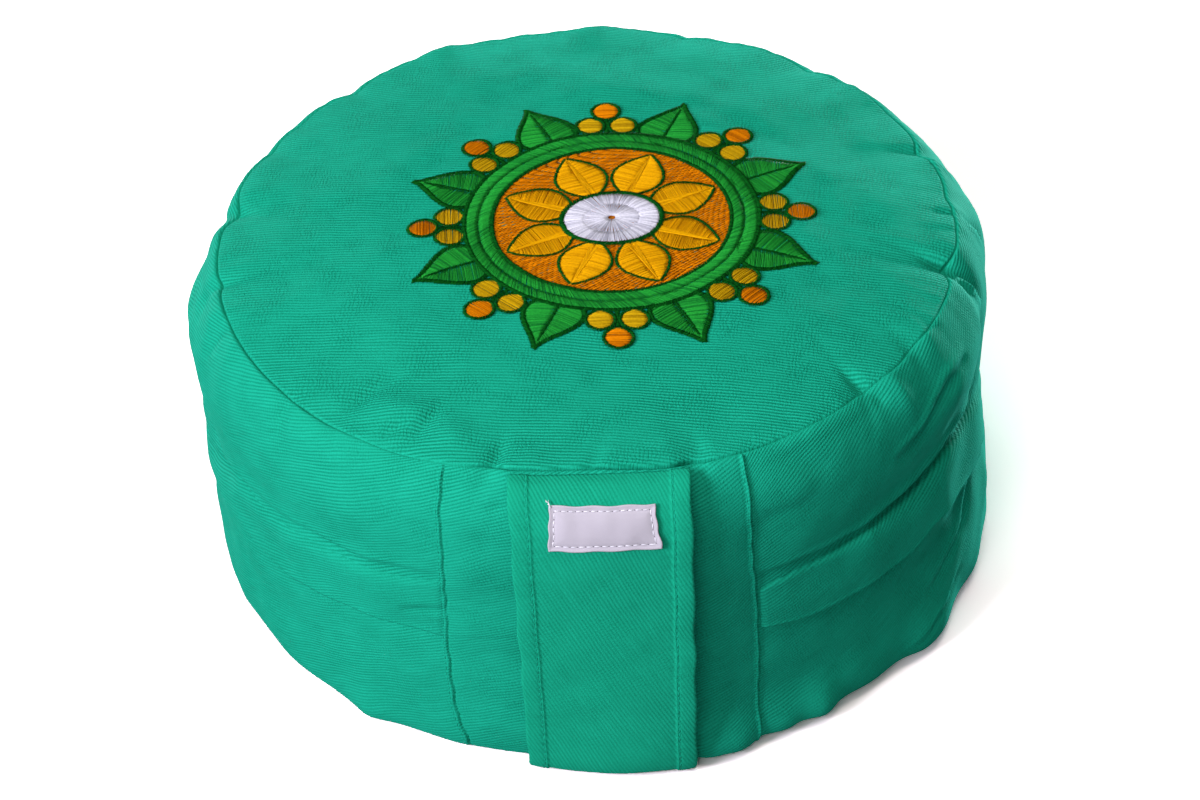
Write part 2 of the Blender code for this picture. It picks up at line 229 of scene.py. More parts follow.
# %% Floor
def make_floor():
    """A plain white floor, which isn't part of the object."""
    half = 0.5 * FLOOR_SIZE
    data = bpy.data.meshes.new("floor")
    corners = [(-half, -half, 0), (half, -half, 0), (half, half, 0), (-half, half, 0)]
    data.from_pydata(corners, [], [(0, 1, 2, 3)])
    finish = bpy.data.materials.new("floor_white")
    finish.use_nodes = True
    tree = finish.node_tree
    ray = put(tree, "ShaderNodeLightPath").outputs["Is Camera Ray"]
    colour = mix_colour(tree, ray, FLOOR_LIT, FLOOR_SEEN)
    look = {"Base Color": colour, "Roughness": 0.9, "Specular IOR Level": 0.1}
    feed(tree, tree.nodes["Principled BSDF"], look)
    data.materials.append(finish)
    floor = bpy.data.objects.new("floor", data)
    bpy.context.scene.collection.objects.link(floor)


make_floor()
print("floor:", FLOOR_SIZE, "m across")

# %% [markdown]
# ## The twill weave
#
# Twill is woven so that each thread floats over its neighbours one step further along in every
# row, which shows as slanting ribs about a millimetre and a half apart. An image of cloth would
# repeat and blur, so the weave is worked out instead. The meshes carry a coordinate map in metres
# that is already turned along the ribs: x runs along a rib and y across. A cosine of y gives the
# ribs, short floats along x cut each rib into little dashes, and noise makes both stand out in
# some places and vanish in others, as they do on the real cloth. A value kept on the mesh, called
# rib_fade, weakens the ribs where the cloth is stretched smooth, and a fine speckle of yarn stays
# everywhere.


# %% Weave group
# Scales of the weave's noises, for each metre of cloth.
WANDER_SCALE, SLIP_SCALE, FLOATS_SCALE, BROAD_SCALE, GRAIN_SCALE = 70.0, 320.0, 60.0, 24.0, 1700.0
STREAK_SCALE = 60.0
RIB_SHAPE, DASH_SHAPE = 0.75, 0.7
SLIP_IN_FLOATS = 2.2
FLOAT_DEPTH, GRAIN_DEPTH = 0.6, 1.1


def make_weave_group():
    """Ribs, floats and their unevenness, from a map in metres that lies along the ribs."""
    inputs = [("Map", VECTOR, None)]
    inputs += [(title, FLOAT, 0.0) for title in ("Rib Pitch", "Float Length", "Wobble", "Fade")]
    outputs = [(title, FLOAT) for title in ("Height", "Groove", "Tone")]
    group, given, result = new_group("twill_weave", inputs, outputs)
    cloth = given["Map"]
    split = put(group, "ShaderNodeSeparateXYZ", {0: cloth}).outputs
    drift = about_half(group, noise(group, cloth, WANDER_SCALE), given["Wobble"])
    row = calc(group, "ADD", calc(group, "DIVIDE", split["Y"], given["Rib Pitch"]), drift)
    swing = calc(group, "COSINE", calc(group, "MULTIPLY", row, 2.0 * math.pi))
    ridge = calc(group, "POWER", calc(group, "MULTIPLY_ADD", swing, 0.5, 0.5), RIB_SHAPE)
    slip = calc(group, "MULTIPLY", noise(group, cloth, SLIP_SCALE, 1.0), SLIP_IN_FLOATS)
    along = calc(group, "ADD", calc(group, "DIVIDE", split["X"], given["Float Length"]), slip)
    swell = calc(group, "ABSOLUTE", calc(group, "SINE", calc(group, "MULTIPLY", along, math.pi)))
    gap = calc(group, "SUBTRACT", 1.0, calc(group, "POWER", swell, DASH_SHAPE))
    shows = remap(group, noise(group, cloth, FLOATS_SCALE), 0.42, 0.64, 0.15, 0.85)
    strength = remap(group, noise(group, cloth, BROAD_SCALE, 1.0), 0.36, 0.62, 0.62, 1.1)
    shown = calc(group, "MULTIPLY", strength, calc(group, "SUBTRACT", 1.0, given["Fade"]))
    grain = about_half(group, noise(group, cloth, GRAIN_SCALE, 1.0), GRAIN_DEPTH)
    ribs = calc(group, "MULTIPLY", calc(group, "SUBTRACT", ridge, FLOAT_DEPTH), shown)
    dashes = calc(group, "MULTIPLY", calc(group, "MULTIPLY", shows, gap), FLOAT_DEPTH)
    cut = calc(group, "SUBTRACT", ribs, dashes)
    height = calc(group, "ADD", calc(group, "ADD", cut, FLOAT_DEPTH), grain)
    stretched = calc(group, "MULTIPLY", split["X"], STREAK_SCALE)
    streak_map = put(group, "ShaderNodeCombineXYZ", {0: stretched, 1: calc(group, "ROUND", row)})
    groove = calc(group, "SUBTRACT", 1.0, ridge)
    tone = noise(group, streak_map.outputs[0], 1.0)
    feed(group, result, {"Height": height, "Groove": groove, "Tone": tone})
    return group


weave_group = make_weave_group()
print("made the group", weave_group.name)

# %% [markdown]
# ## Colour patches, and painted shade of hollows and crests
#
# Cloth that has been filled, carried and sat on isn't one even green: broad soft patches, from
# noise, differ a little in depth of colour. On top of that, hollows are painted darker and the
# crests of folds paler, from the Pointiness of the surface: painted shade and painted highlight.
# One group puts out that mask, and each cloth mixes it in with its own strength.


# %% Patch and painted-shade group
DUST_SCALE = 900.0


def make_patch_shade_group():
    """A mask around 0.5 of broad soft patches, raised on crests as painted highlight and lowered
    in hollows as painted shade.
    """
    inputs = (("Patch Size", FLOAT, 0.05), ("Crest", FLOAT, 1.0))
    group, given, result = new_group("cloth_patches_painted_shade", inputs, (("Mask", FLOAT), ("Dust", FLOAT)))
    place = put(group, "ShaderNodeTexCoord").outputs["Object"]
    patch = noise(group, place, calc(group, "DIVIDE", 1.0, given["Patch Size"]), 3.0)
    # Painted highlight and shade: Pointiness is high on crests and low in hollows.
    form = put(group, "ShaderNodeNewGeometry").outputs["Pointiness"]
    crest = about_half(group, form, given["Crest"])
    mask = calc(group, "ADD", calc(group, "MULTIPLY_ADD", patch, 0.6, 0.2), crest)
    feed(group, result, {"Mask": clamp(group, mask), "Dust": noise(group, place, DUST_SCALE)})
    return group


patch_shade_group = make_patch_shade_group()
print("made the group", patch_shade_group.name)

# %% [markdown]
# ## Twill, thread and tape
#
# The three finishes place those groups and set their own values. Twill is matt, with a green
# sheen from its fuzz, so its specular level is near zero. Embroidery thread is bright and has a
# real highlight, and its shine changes with the direction of each stitch, because every stitch is
# modelled as a rounded strand. Label tape is a fine plain weave.

# %% Cloth materials
CLOTH_LIGHT = (0.0105, 0.405, 0.262, 1.0)
CLOTH_DEEP = (0.0030, 0.215, 0.128, 1.0)
STRAP_LIGHT = (0.0098, 0.398, 0.242, 1.0)
STRAP_DEEP = (0.0030, 0.218, 0.121, 1.0)
SHEEN_GREEN = (0.01, 0.95, 0.68, 1.0)
TAPE_LIGHT = (0.58, 0.535, 0.610, 1.0)
TAPE_DEEP = (0.40, 0.365, 0.430, 1.0)
WEAVE_MAP = "weave"
TWILL_WOBBLE = 0.55
FLOAT_TO_RIB = 0.95
TWILL_PATCH, TWILL_CREST = 0.055, 1.2
STREAK_SHARE, PATCH_SHADE_SHARE, DUST_RELIEF = 0.55, 0.35, 0.25


def plain_material(name):
    """A new material, its node tree and its Principled shader."""
    finish = bpy.data.materials.new(name)
    finish.use_nodes = True
    return finish, finish.node_tree, finish.node_tree.nodes["Principled BSDF"]


def twill_material(name, light, deep, rib_pitch, relief, rib_shade):
    """Green twill. Relief is the height of its ribs. The last value lightens the ribs' crests and
    darkens their grooves in the colour: painted shade of the weave, on top of its bump.
    """
    finish, tree, shader = plain_material(name)
    given = {
        "Map": put(tree, "ShaderNodeUVMap", uv_map=WEAVE_MAP).outputs["UV"],
        "Rib Pitch": rib_pitch,
        "Float Length": FLOAT_TO_RIB * rib_pitch,
        "Wobble": TWILL_WOBBLE,
        "Fade": put(tree, "ShaderNodeAttribute", attribute_name="rib_fade").outputs["Fac"],
    }
    weave = put(tree, "ShaderNodeGroup", given, node_tree=weave_group).outputs
    given = {"Patch Size": TWILL_PATCH, "Crest": TWILL_CREST}
    patch_shade = put(tree, "ShaderNodeGroup", given, node_tree=patch_shade_group).outputs
    # Painted shade: the weave's crests are lighter and its grooves darker in the colour.
    ribs = calc(tree, "MULTIPLY_ADD", weave["Height"], rib_shade, 0.5 - 0.5 * rib_shade)
    tone = calc(tree, "ADD", about_half(tree, weave["Tone"], STREAK_SHARE), ribs)
    # Patches, with painted shade in hollows and painted highlight on crests.
    patch_shaded = calc(tree, "ADD", about_half(tree, patch_shade["Mask"], PATCH_SHADE_SHARE), tone)
    surface = calc(tree, "MULTIPLY_ADD", patch_shade["Dust"], DUST_RELIEF, weave["Height"])
    look = {
        "Base Color": mix_colour(tree, clamp(tree, patch_shaded), deep, light),
        "Roughness": calc(tree, "MULTIPLY_ADD", weave["Groove"], 0.15, 0.78),
        "Normal": bump(tree, surface, relief),
        "Specular IOR Level": 0.03,
        "Sheen Weight": 0.09,
        "Sheen Roughness": 0.45,
        "Sheen Tint": SHEEN_GREEN,
    }
    feed(tree, shader, look)
    return finish


# The top's ribs get more painted groove shade than the wall's, and the strap's get the least.
wall_twill = twill_material("wall_twill", CLOTH_LIGHT, CLOTH_DEEP, 0.00136, 0.00018, 0.75)
top_twill = twill_material("top_twill", CLOTH_LIGHT, CLOTH_DEEP, 0.00160, 0.00030, 1.0)
strap_twill = twill_material("strap_twill", STRAP_LIGHT, STRAP_DEEP, 0.00148, 0.00010, 0.4)
print("twill finishes:", wall_twill.name, top_twill.name, strap_twill.name)


# %% Thread and label materials
THREAD_GRAIN_SCALE, THREAD_GRAIN_SHARE = 1400.0, 0.9
FINE_RELIEF = 0.00006
WARP_PITCH, WEFT_PITCH = 0.0005, 0.0006


def thread_material(name, light, deep, roughness=0.42, specular=0.16):
    """Glossy thread. Each stitch has its own tone, kept on the mesh, from light to deep."""
    finish, tree, shader = plain_material(name)
    tone = put(tree, "ShaderNodeAttribute", attribute_name="stitch_tone").outputs["Fac"]
    grain = noise(tree, put(tree, "ShaderNodeTexCoord").outputs["Object"], THREAD_GRAIN_SCALE)
    mixed = calc(tree, "ADD", about_half(tree, grain, THREAD_GRAIN_SHARE), tone)
    look = {
        "Base Color": mix_colour(tree, clamp(tree, mixed), (*deep, 1.0), (*light, 1.0)),
        "Roughness": calc(tree, "MULTIPLY_ADD", grain, 0.16, roughness - 0.08),
        "Normal": bump(tree, grain, FINE_RELIEF),
        "Specular IOR Level": specular,
        "Specular Tint": (*light, 1.0),
    }
    feed(tree, shader, look)
    return finish


def tape_material():
    """White woven label tape, with a fine plain weave and a faint violet cast."""
    finish, tree, shader = plain_material("label_tape")
    cloth_map = put(tree, "ShaderNodeUVMap", uv_map=WEAVE_MAP).outputs["UV"]
    split = put(tree, "ShaderNodeSeparateXYZ", {0: cloth_map}).outputs
    warp = calc(tree, "SINE", calc(tree, "MULTIPLY", split["X"], 2.0 * math.pi / WARP_PITCH))
    weft = calc(tree, "SINE", calc(tree, "MULTIPLY", split["Y"], 2.0 * math.pi / WEFT_PITCH))
    cross = calc(tree, "MULTIPLY_ADD", calc(tree, "MULTIPLY", warp, weft), 0.5, 0.5)
    given = {"Patch Size": 0.012, "Crest": 0.6}
    patch_shade = put(tree, "ShaderNodeGroup", given, node_tree=patch_shade_group).outputs
    # The tape takes the patches too, with painted shade in hollows and painted highlight on crests.
    tone = calc(tree, "MULTIPLY_ADD", cross, 0.35, calc(tree, "MULTIPLY", patch_shade["Mask"], 0.65))
    look = {
        "Base Color": mix_colour(tree, tone, TAPE_DEEP, TAPE_LIGHT),
        "Roughness": calc(tree, "MULTIPLY_ADD", cross, -0.1, 0.72),
        "Normal": bump(tree, cross, FINE_RELIEF),
        "Specular IOR Level": 0.25,
    }
    feed(tree, shader, look)
    return finish


# Light and deep colour of each thread, then roughness and specular level where they aren't the
# usual ones.
THREADS = {
    "sewing_green": ((0.012, 0.42, 0.28), (0.004, 0.20, 0.12), 0.6, 0.15),
    "sewing_white": ((0.85, 0.83, 0.90), (0.62, 0.60, 0.70), 0.5, 0.3),
    "leaf_green": ((0.020, 0.360, 0.040), (0.003, 0.100, 0.016)),
    "deep_green": ((0.004, 0.105, 0.010), (0.001, 0.030, 0.004), 0.75, 0.04),
    "gold_thread": ((0.66, 0.40, 0.006), (0.26, 0.14, 0.002)),
    "yellow_thread": ((0.84, 0.42, 0.003), (0.46, 0.19, 0.001)),
    "orange_thread": ((0.76, 0.24, 0.002), (0.36, 0.09, 0.001)),
    "white_thread": ((0.80, 0.78, 0.88), (0.36, 0.35, 0.44)),
    # Painted shade of the label's needle holes, laid on the tape as dark marks.
    "painted_hole_shade": ((0.02, 0.02, 0.03), (0.01, 0.01, 0.02), 0.9, 0.0),
}
label_tape = tape_material()
threads = {name: thread_material(name, *row) for name, row in THREADS.items()}
print("threads:", ", ".join(threads))

# %% [markdown]
# ## Smooth curves and folds as numbers
#
# The cover is worked out point by point on a grid: columns go round the cushion, rows climb from
# the base seam to the top seam and run in to the middle of the top. numpy moves all the points of
# a grid at once. A place is given by its degrees round from the strap and by its distance from
# the top seam along the cloth, so that a fold can run from the wall over the seam. The tables are
# in millimetres and degrees, a row for each fold, hollow or gather.

# %% Curves, bells and waves
WALL_RADIUS = 0.1650
TOP_SEAM_RADIUS = 0.1515
TOP_SEAM_HEIGHT = 0.1415
LEAN_X = -0.0025
CURVE_STEPS = 4000
WAVE_COUNT = 7


def curve_through(values, way):
    """Smooth values at ways from 0 to 1 along a list, through every item of it."""
    values = np.asarray(values, float)
    last = len(values) - 1
    reach = np.clip(way, 0.0, 1.0) * last
    at = np.minimum(reach.astype(int), last - 1)
    t = reach - at
    before, a, b, after = (values[np.clip(at + step, 0, last)] for step in (-1, 0, 1, 2))
    bend = (2 * before - 5 * a + 4 * b - after) * t**2 + (3 * a - before - 3 * b + after) * t**3
    return 0.5 * (2 * a + (b - before) * t + bend)


def lengths_along(columns):
    """Ways from 0 to 1 along the smooth curve of several columns, and the length up to each."""
    ways = np.linspace(0.0, 1.0, CURVE_STEPS + 1)
    points = np.stack([curve_through(column, ways) for column in columns], axis=1)
    pieces = np.linalg.norm(np.diff(points, axis=0), axis=1)
    return ways, np.concatenate(([0.0], np.cumsum(pieces)))


def from_table(table, at):
    """Values between the rows (place, value) of a table."""
    return np.interp(at, *zip(*table))


def bell(distance, width):
    """1 at distance 0, fading smoothly to 0 over about two widths."""
    return np.exp(-((distance / width) ** 2))


def rise(value, start, end):
    """0 before start, 1 after end, smooth between."""
    t = np.clip((value - start) / (end - start), 0.0, 1.0)
    return t * t * (3.0 - 2.0 * t)


def wall_run(degrees):
    """Length in mm along the wall of an angle round it."""
    return np.radians(degrees) * WALL_RADIUS / MM


def along_wall(around, other):
    """Distance along the wall in mm between places round it, the shorter way."""
    return wall_run((around - other + 180.0) % 360.0 - 180.0)


def waves(x, y, wavelength, seed):
    """Gentle unevenness between about -1 and 1: a sum of waves in random directions."""
    random = np.random.default_rng(seed)
    total = np.zeros(np.broadcast(x, y).shape)
    for _ in range(WAVE_COUNT):
        heading = random.uniform(0.0, math.pi)
        size = wavelength * random.uniform(0.7, 1.5)
        phase = random.uniform(0.0, 2.0 * math.pi)
        way = x * math.cos(heading) + y * math.sin(heading)
        total += np.sin(2.0 * math.pi * way / size + phase)
    return total / math.sqrt(WAVE_COUNT)


def lumps(x, y, *layers):
    """Unevenness in mm, a sum of waves given as (height, wavelength, seed)."""
    return sum(height * waves(x, y, wavelength, seed) for height, wavelength, seed in layers)


def oval(row, x, y):
    """Depth in mm of a fold, puff or dent at x and y in mm from its middle."""
    slope = math.radians(row.slope)
    lengthways = x * math.cos(slope) + y * math.sin(slope)
    across = y * math.cos(slope) - x * math.sin(slope)
    return row.depth * bell(lengthways, row.length) * bell(across, row.width)


# %% The cushion's section and its gathers
Gather = namedtuple("Gather", "around width pull drop reach")
Fold = namedtuple("Fold", "around height slope length width depth")
Lift = namedtuple("Lift", "around width lift")

# Height and radius of the wall, from the base seam up to the top seam, in mm.
SECTION = (
    (1.2, 158.0), (2.8, 162.0), (6.5, 163.8), (14.0, 164.2), (28.0, 164.3), (43.0, 164.3),
    (58.0, 164.3), (65.0, 164.3), (72.0, 164.4), (79.0, 164.5), (86.0, 164.7), (100.0, 165.0),
    (113.0, 164.5), (123.0, 162.8), (131.0, 160.0), (136.8, 156.8), (140.0, 154.0), (141.5, 151.5),
)  # fmt: skip
SECTION_HEIGHTS, SECTION_RADII = (np.array(column) for column in zip(*SECTION))

# Where the seam thread draws the cloth in and down, and how far from the seam that shows.
GATHERS = (
    Gather(-157, 14, 0.2, -3.2, 24),
    Gather(-140, 9, 2.0, 0.8, 22),
    Gather(-127, 9, 1.0, 0.4, 22),
    Gather(-119, 8, 1.0, 1.6, 22),
    Gather(-102, 10, 4.0, 2.4, 24),
    Gather(-83, 5, 1.8, 1.8, 24),
    Gather(-46, 15, 0.6, 1.6, 26),
    Gather(-7, 48, 0.0, -3.2, 34),
    Gather(-1, 28, 3.6, 0.0, 22),
    Gather(-16, 6, 2.6, 0.5, 18),
    Gather(14, 6, 3.0, 2.0, 18),
    Gather(44, 12, 2.2, 1.6, 34),
    Gather(57, 9, 1.6, 1.2, 30),
    Gather(78, 8, 5.6, 4.2, 30),
    Gather(96, 8, 1.4, 0.6, 28),
    Gather(109, 7, 3.0, 1.8, 24),
    Gather(127, 14, 0.0, -3.0, 26),
    Gather(139, 7, 1.4, 0.8, 20),
    Gather(148, 12, 0.4, -1.2, 22),
    Gather(162, 9, 1.8, 0.8, 20),
    Gather(175, 11, 0.0, -2.4, 24),
)

# Soft folds of the wall and rounds of its foot: degrees round and mm up of the middle, the slope
# of its length above level in degrees, half length and half width in mm, and how far it stands
# out.
FOLDS = (
    Fold(0, 74, 0, 26, 34, -3.4),
    Fold(16, 66, 90, 60, 11, 3.4),
    Fold(50, 94, 2, 50, 9, -3.4),
    Fold(72, 100, 40, 30, 8, -3.6),
    Fold(62, 118, 8, 28, 11, 2.2),
    Fold(56, 50, 10, 34, 10, -2.8),
    Fold(76, 40, 55, 36, 8.5, 1.6),
    Fold(92, 72, -6, 44, 28, -6.6),
    Fold(114, 128, 0, 40, 13, 2.6),
    Fold(124, 96, 12, 44, 11, -2.6),
    Fold(150, 46, -8, 46, 12, -2.4),
    Fold(172, 100, 6, 50, 12, -2.4),
    Fold(-150, 50, 10, 46, 11, -2.4),
    Fold(-122, 96, -8, 46, 11, -2.4),
    Fold(-114, 130, 0, 58, 14, -3.6),
    Fold(-90, 113, 0, 36, 12, 2.2),
    Fold(-78, 82, -10, 40, 11, -2.6),
    Fold(-55, 92, -2, 50, 10, -1.8),
    Fold(-28, 66, 20, 14, 7, -1.4),
    Fold(12, 6, 0, 10, 16, 6.4),
    Fold(17, 6, 0, 9, 14, 5.6),
    Fold(24, 6, 0, 9, 14, 3.8),
    Fold(30, 6, 0, 8, 13, 5.0),
    Fold(40, 8, 0, 18, 16, 1.8),
    Fold(49, 8, 0, 9, 16, 2.6),
    Fold(54, 8, 0, 15, 20, 5.4),
    Fold(68, 16, 0, 20, 20, 2.0),
    Fold(83, 66, 0, 16, 34, -3.6),
    Fold(98, 120, 0, 14, 18, 2.8),
    Fold(-104, 118, 0, 14, 16, -3.2),
    Fold(-120, 128, 0, 10, 12, -3.2),
    Fold(-37, 8, 0, 9, 14, 3.0),
    Fold(110, 10, 0, 24, 18, 1.6),
    Fold(160, 10, 0, 24, 18, 1.6),
    Fold(-130, 10, 0, 24, 18, 1.6),
)

# Where the lower edge stands clear of the floor.
LIFTS = (
    Lift(31, 12, 0.5),
    Lift(47, 9, 1.2),
    Lift(64, 12, 1.4),
    Lift(100, 18, 2.6),
    Lift(148, 18, 2.6),
    Lift(-62, 18, 1.2),
    Lift(-105, 18, 2.6),
    Lift(-148, 18, 2.6),
)
LIFT_REACH_MM = 16.0
FOOT_FADE_MM, EDGE_FADE_MM = 4.0, 12.0


def gather(around, from_seam):
    """How far in mm the gathers draw a point inwards and down."""
    inwards = down = 0.0
    for row in GATHERS:
        fade = np.exp(-2.0 * np.abs(from_seam) / row.reach)
        share = bell(along_wall(around, row.around), row.width) * fade
        inwards = inwards + row.pull * share
        down = down + row.drop * share
    return inwards, down


def fold_depth(around, height):
    """How far in mm the soft folds move a point of the wall outwards."""
    outwards = sum(oval(row, along_wall(around, row.around), height - row.height) for row in FOLDS)
    fade = np.minimum(height / FOOT_FADE_MM, (TOP_SEAM_HEIGHT / MM - height) / EDGE_FADE_MM)
    return outwards * np.clip(fade, 0.0, 1.0)


def foot_lift(around, height):
    """How far in mm the lower edge is raised."""
    total = sum(row.lift * bell(along_wall(around, row.around), row.width) for row in LIFTS)
    return total * np.exp(-height / LIFT_REACH_MM)


def place(around, radius, height):
    """Points in metres at degrees round the cushion and radii and heights in mm, with its lean."""
    angle = np.radians(around)
    lean = LEAN_X * np.minimum(1.0, height * MM / TOP_SEAM_HEIGHT)
    x = radius * MM * np.sin(angle) + lean
    y = -radius * MM * np.cos(angle)
    return np.stack(np.broadcast_arrays(x, y, height * MM), axis=-1)


wall_ways, wall_lengths = lengths_along((SECTION_HEIGHTS, SECTION_RADII))
WALL_LENGTH = wall_lengths[-1]
print("the wall's cloth is", round(WALL_LENGTH, 1), "mm from seam to seam")

# %% [markdown]
# ## Rows and columns
#
# A grid should be fine where the cloth turns sharply and coarse where it is smooth. The columns
# crowd together at the two upright seams, whose ridge is only 2 mm wide, and the rows crowd at
# the top seam, where the cloth dives into the stitching. The upright seams aren't quite straight,
# so the columns stray with them. Towards the middle of the top the columns would meet in a point,
# so every second one is left out twice.

# %% Rows and columns of the cover
LEFT_SEAM = -22.3
RIGHT_SEAM = 20.7
UPRIGHT_SEAMS = (LEFT_SEAM, RIGHT_SEAM)

# Degrees that each upright seam strays from its place, at distances in mm from the top seam.
LEFT_STRAY = (
    (-40, 0), (0, -0.2), (13, 0), (40, 0.2), (63, -0.2), (85, -0.7), (122, -0.5), (137, 0.9),
    (160, 1.2),
)  # fmt: skip
RIGHT_STRAY = (
    (-40, 0), (0, 0.8), (11, 0.5), (28, 0), (50, -0.2), (70, 0.2), (96, 0.1), (123, -0.4),
    (160, -1.0),
)  # fmt: skip
STRAY_REACH_MM = 42.0
EVEN_COLUMNS = 496
SEAM_COLUMNS_MM = (
    -4.2, -3.1, -2.3, -1.7, -1.25, -0.9, -0.6, -0.3, 0.0, 0.3, 0.6, 0.9, 1.25, 1.7, 2.3, 3.1, 4.2,
)  # fmt: skip
SEAM_ROWS_MM = (0.0, 0.3, 0.7, 1.2, 1.8, 2.6, 3.5, 4.6)
SEAM_CLEAR_MM = 4.6
WALL_STEP_MM = 1.28
TOP_STEP_MM = 2.1
TOP_FINE_TO_MM = 62.0
INNER_STEP_MM = 3.6


def cover_columns():
    """Degrees of the columns, a multiple of four of them, starting behind the cushion."""
    to_degrees = math.degrees(MM / WALL_RADIUS)
    close = [seam + step * to_degrees for seam in UPRIGHT_SEAMS for step in SEAM_COLUMNS_MM]
    even = [360.0 * n / EVEN_COLUMNS - 180.0 for n in range(EVEN_COLUMNS)]
    gap = SEAM_CLEAR_MM * to_degrees
    clear = [around for around in even if min(abs(around - seam) for seam in UPRIGHT_SEAMS) > gap]
    columns = sorted(clear + close)
    spare = len(columns) % 4
    return np.array(columns[spare:])


def cover_rows():
    """Distances from the top seam in mm: the wall's from the base up, then the top's below 0."""
    start = SEAM_ROWS_MM[-1]
    count = round((WALL_LENGTH - start) / WALL_STEP_MM)
    wall = list(start + (WALL_LENGTH - start) * np.arange(1, count + 1) / count)
    fine = list(np.arange(start + TOP_STEP_MM, TOP_FINE_TO_MM, TOP_STEP_MM))
    top = [-distance for distance in (*SEAM_ROWS_MM[1:], *fine)]
    return np.array(wall[::-1] + list(SEAM_ROWS_MM[::-1]) + top)


def stray(around, from_seam):
    """Degrees by which the columns stray beside the upright seams."""
    total = 0.0
    for seam, table in zip(UPRIGHT_SEAMS, (LEFT_STRAY, RIGHT_STRAY)):
        near = bell(along_wall(around, seam), STRAY_REACH_MM)
        total = total + from_table(table, from_seam) * near
    return total


columns = cover_columns()
rows = cover_rows()
SEAM_ROW = int(np.argmin(np.abs(rows)))
print(len(columns), "columns and", len(rows), "rows; the seam is row", SEAM_ROW)

# %% [markdown]
# ## The plain cover
#
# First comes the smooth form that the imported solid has: the section swept round, drawn in at the
# gathers, with its soft folds. The top is a shallow crown that leaves its seam level and then
# rises quickly.

# %% The plain form
CROWN = 8.5
CROWN_POWER = 3.0
CROWN_EDGE_POWER = 0.75
EDGE_SOFTNESS_MM = 2.2


def wall_form(around, from_seam):
    """Points of the plain wall, at distances below the top seam."""
    way = np.interp(WALL_LENGTH - from_seam, wall_lengths, wall_ways)
    height = curve_through(SECTION_HEIGHTS, way)
    radius = curve_through(SECTION_RADII, way) + fold_depth(around, height)
    inwards, down = gather(around, from_seam)
    return place(around, radius - inwards, height - down + foot_lift(around, height))


def top_form(around, inside):
    """Points of the plain top, at distances inside its seam."""
    seam = TOP_SEAM_RADIUS / MM
    share = np.clip(1.0 - inside / seam, 0.0, 1.0)
    softened = 1.0 - inside**2 / (inside + EDGE_SOFTNESS_MM) / seam
    crown = CROWN * (1.0 - np.clip(softened, 0.0, 1.0) ** CROWN_POWER) ** CROWN_EDGE_POWER
    inwards, down = gather(around, inside)
    return place(around, seam * share - inwards, TOP_SEAM_HEIGHT / MM + crown - down)


def cover_form(around, from_seam):
    """Points of the plain cover on a grid of columns and distances from the top seam."""
    strayed = around + stray(around, from_seam)
    wall = wall_form(strayed, np.maximum(from_seam, 0.0))
    top = top_form(strayed, np.maximum(-from_seam, 0.0))
    return np.where((from_seam >= 0.0)[..., None], wall, top)


def grid_normals(points):
    """Outward directions of a grid that closes on itself round the cushion."""
    across = np.roll(points, -1, axis=1) - np.roll(points, 1, axis=1)
    upwards = np.gradient(points, axis=0)
    direction = np.cross(across, upwards)
    return direction / np.linalg.norm(direction, axis=-1, keepdims=True)


grid_around, grid_seam = np.meshgrid(columns, rows)
plain_cover = cover_form(grid_around, grid_seam)
print("plain cover:", plain_cover.shape[0] * plain_cover.shape[1], "points")

# %% [markdown]
# ## Inflating the cover
#
# Cloth that is filled doesn't keep the even form of a drawing: it swells between its seams and
# buckles where more of it is sewn in than the seam takes. Blender's cloth simulation finds those
# shapes. A coarse copy of the cover is pinned along its seams, given a little extra cloth near
# the top seam, and blown up for twenty frames without gravity. Only the movement is kept. It is
# capped, and then carried over to the fine grid, because a simulation of the fine grid would take
# many minutes and find the same large shapes.

# %% Cloth simulation
COARSE_COLUMNS = 216
COARSE_WALL_ROWS = 27
COARSE_TOP_ROWS = 21
COARSE_TOP_DEPTH_MM = 118.0
FULLNESS = -0.045
PRESSURE = 4.0
SIM_FRAMES = 20
PIN_REACH_MM = 2.4
FULLEST_AROUND = 80.0
SWELL_CAP_MM = 3.2


def coarse_grid():
    """Places of the coarse copy's points: degrees round it and mm from the top seam."""
    around = 360.0 * np.arange(COARSE_COLUMNS) / COARSE_COLUMNS - 180.0
    wall = WALL_LENGTH * np.arange(COARSE_WALL_ROWS, 0, -1) / COARSE_WALL_ROWS
    top = -COARSE_TOP_DEPTH_MM * np.arange(0, COARSE_TOP_ROWS + 1) / COARSE_TOP_ROWS
    return around, np.concatenate((wall, top))


def ring_faces(rings, size):
    """Quads that join rings of equal length, numbered one after the other."""
    start = np.arange(rings - 1)[:, None] * size
    first, after = start + np.arange(size), start + (np.arange(size) + 1) % size
    return np.stack((first, after, after + size, first + size), axis=-1).reshape(-1, 4)


def pinned_and_full(around, from_seam):
    """Weights of the pins, which hold the seams, and of the extra cloth, mostly on the right."""
    held = [0.0, WALL_LENGTH, -COARSE_TOP_DEPTH_MM]
    nearest = np.min([np.abs(from_seam - distance) for distance in held], axis=0)
    seam = np.min([np.abs(along_wall(around, place)) for place in UPRIGHT_SEAMS], axis=0)
    pins = np.where((nearest < 1.0) | ((seam < PIN_REACH_MM) & (from_seam > 0)), 1.0, 0.0)
    side = 0.35 + 0.65 * bell(along_wall(around, FULLEST_AROUND), 170.0)
    return pins, bell(from_seam - 4.0, 26.0) * side


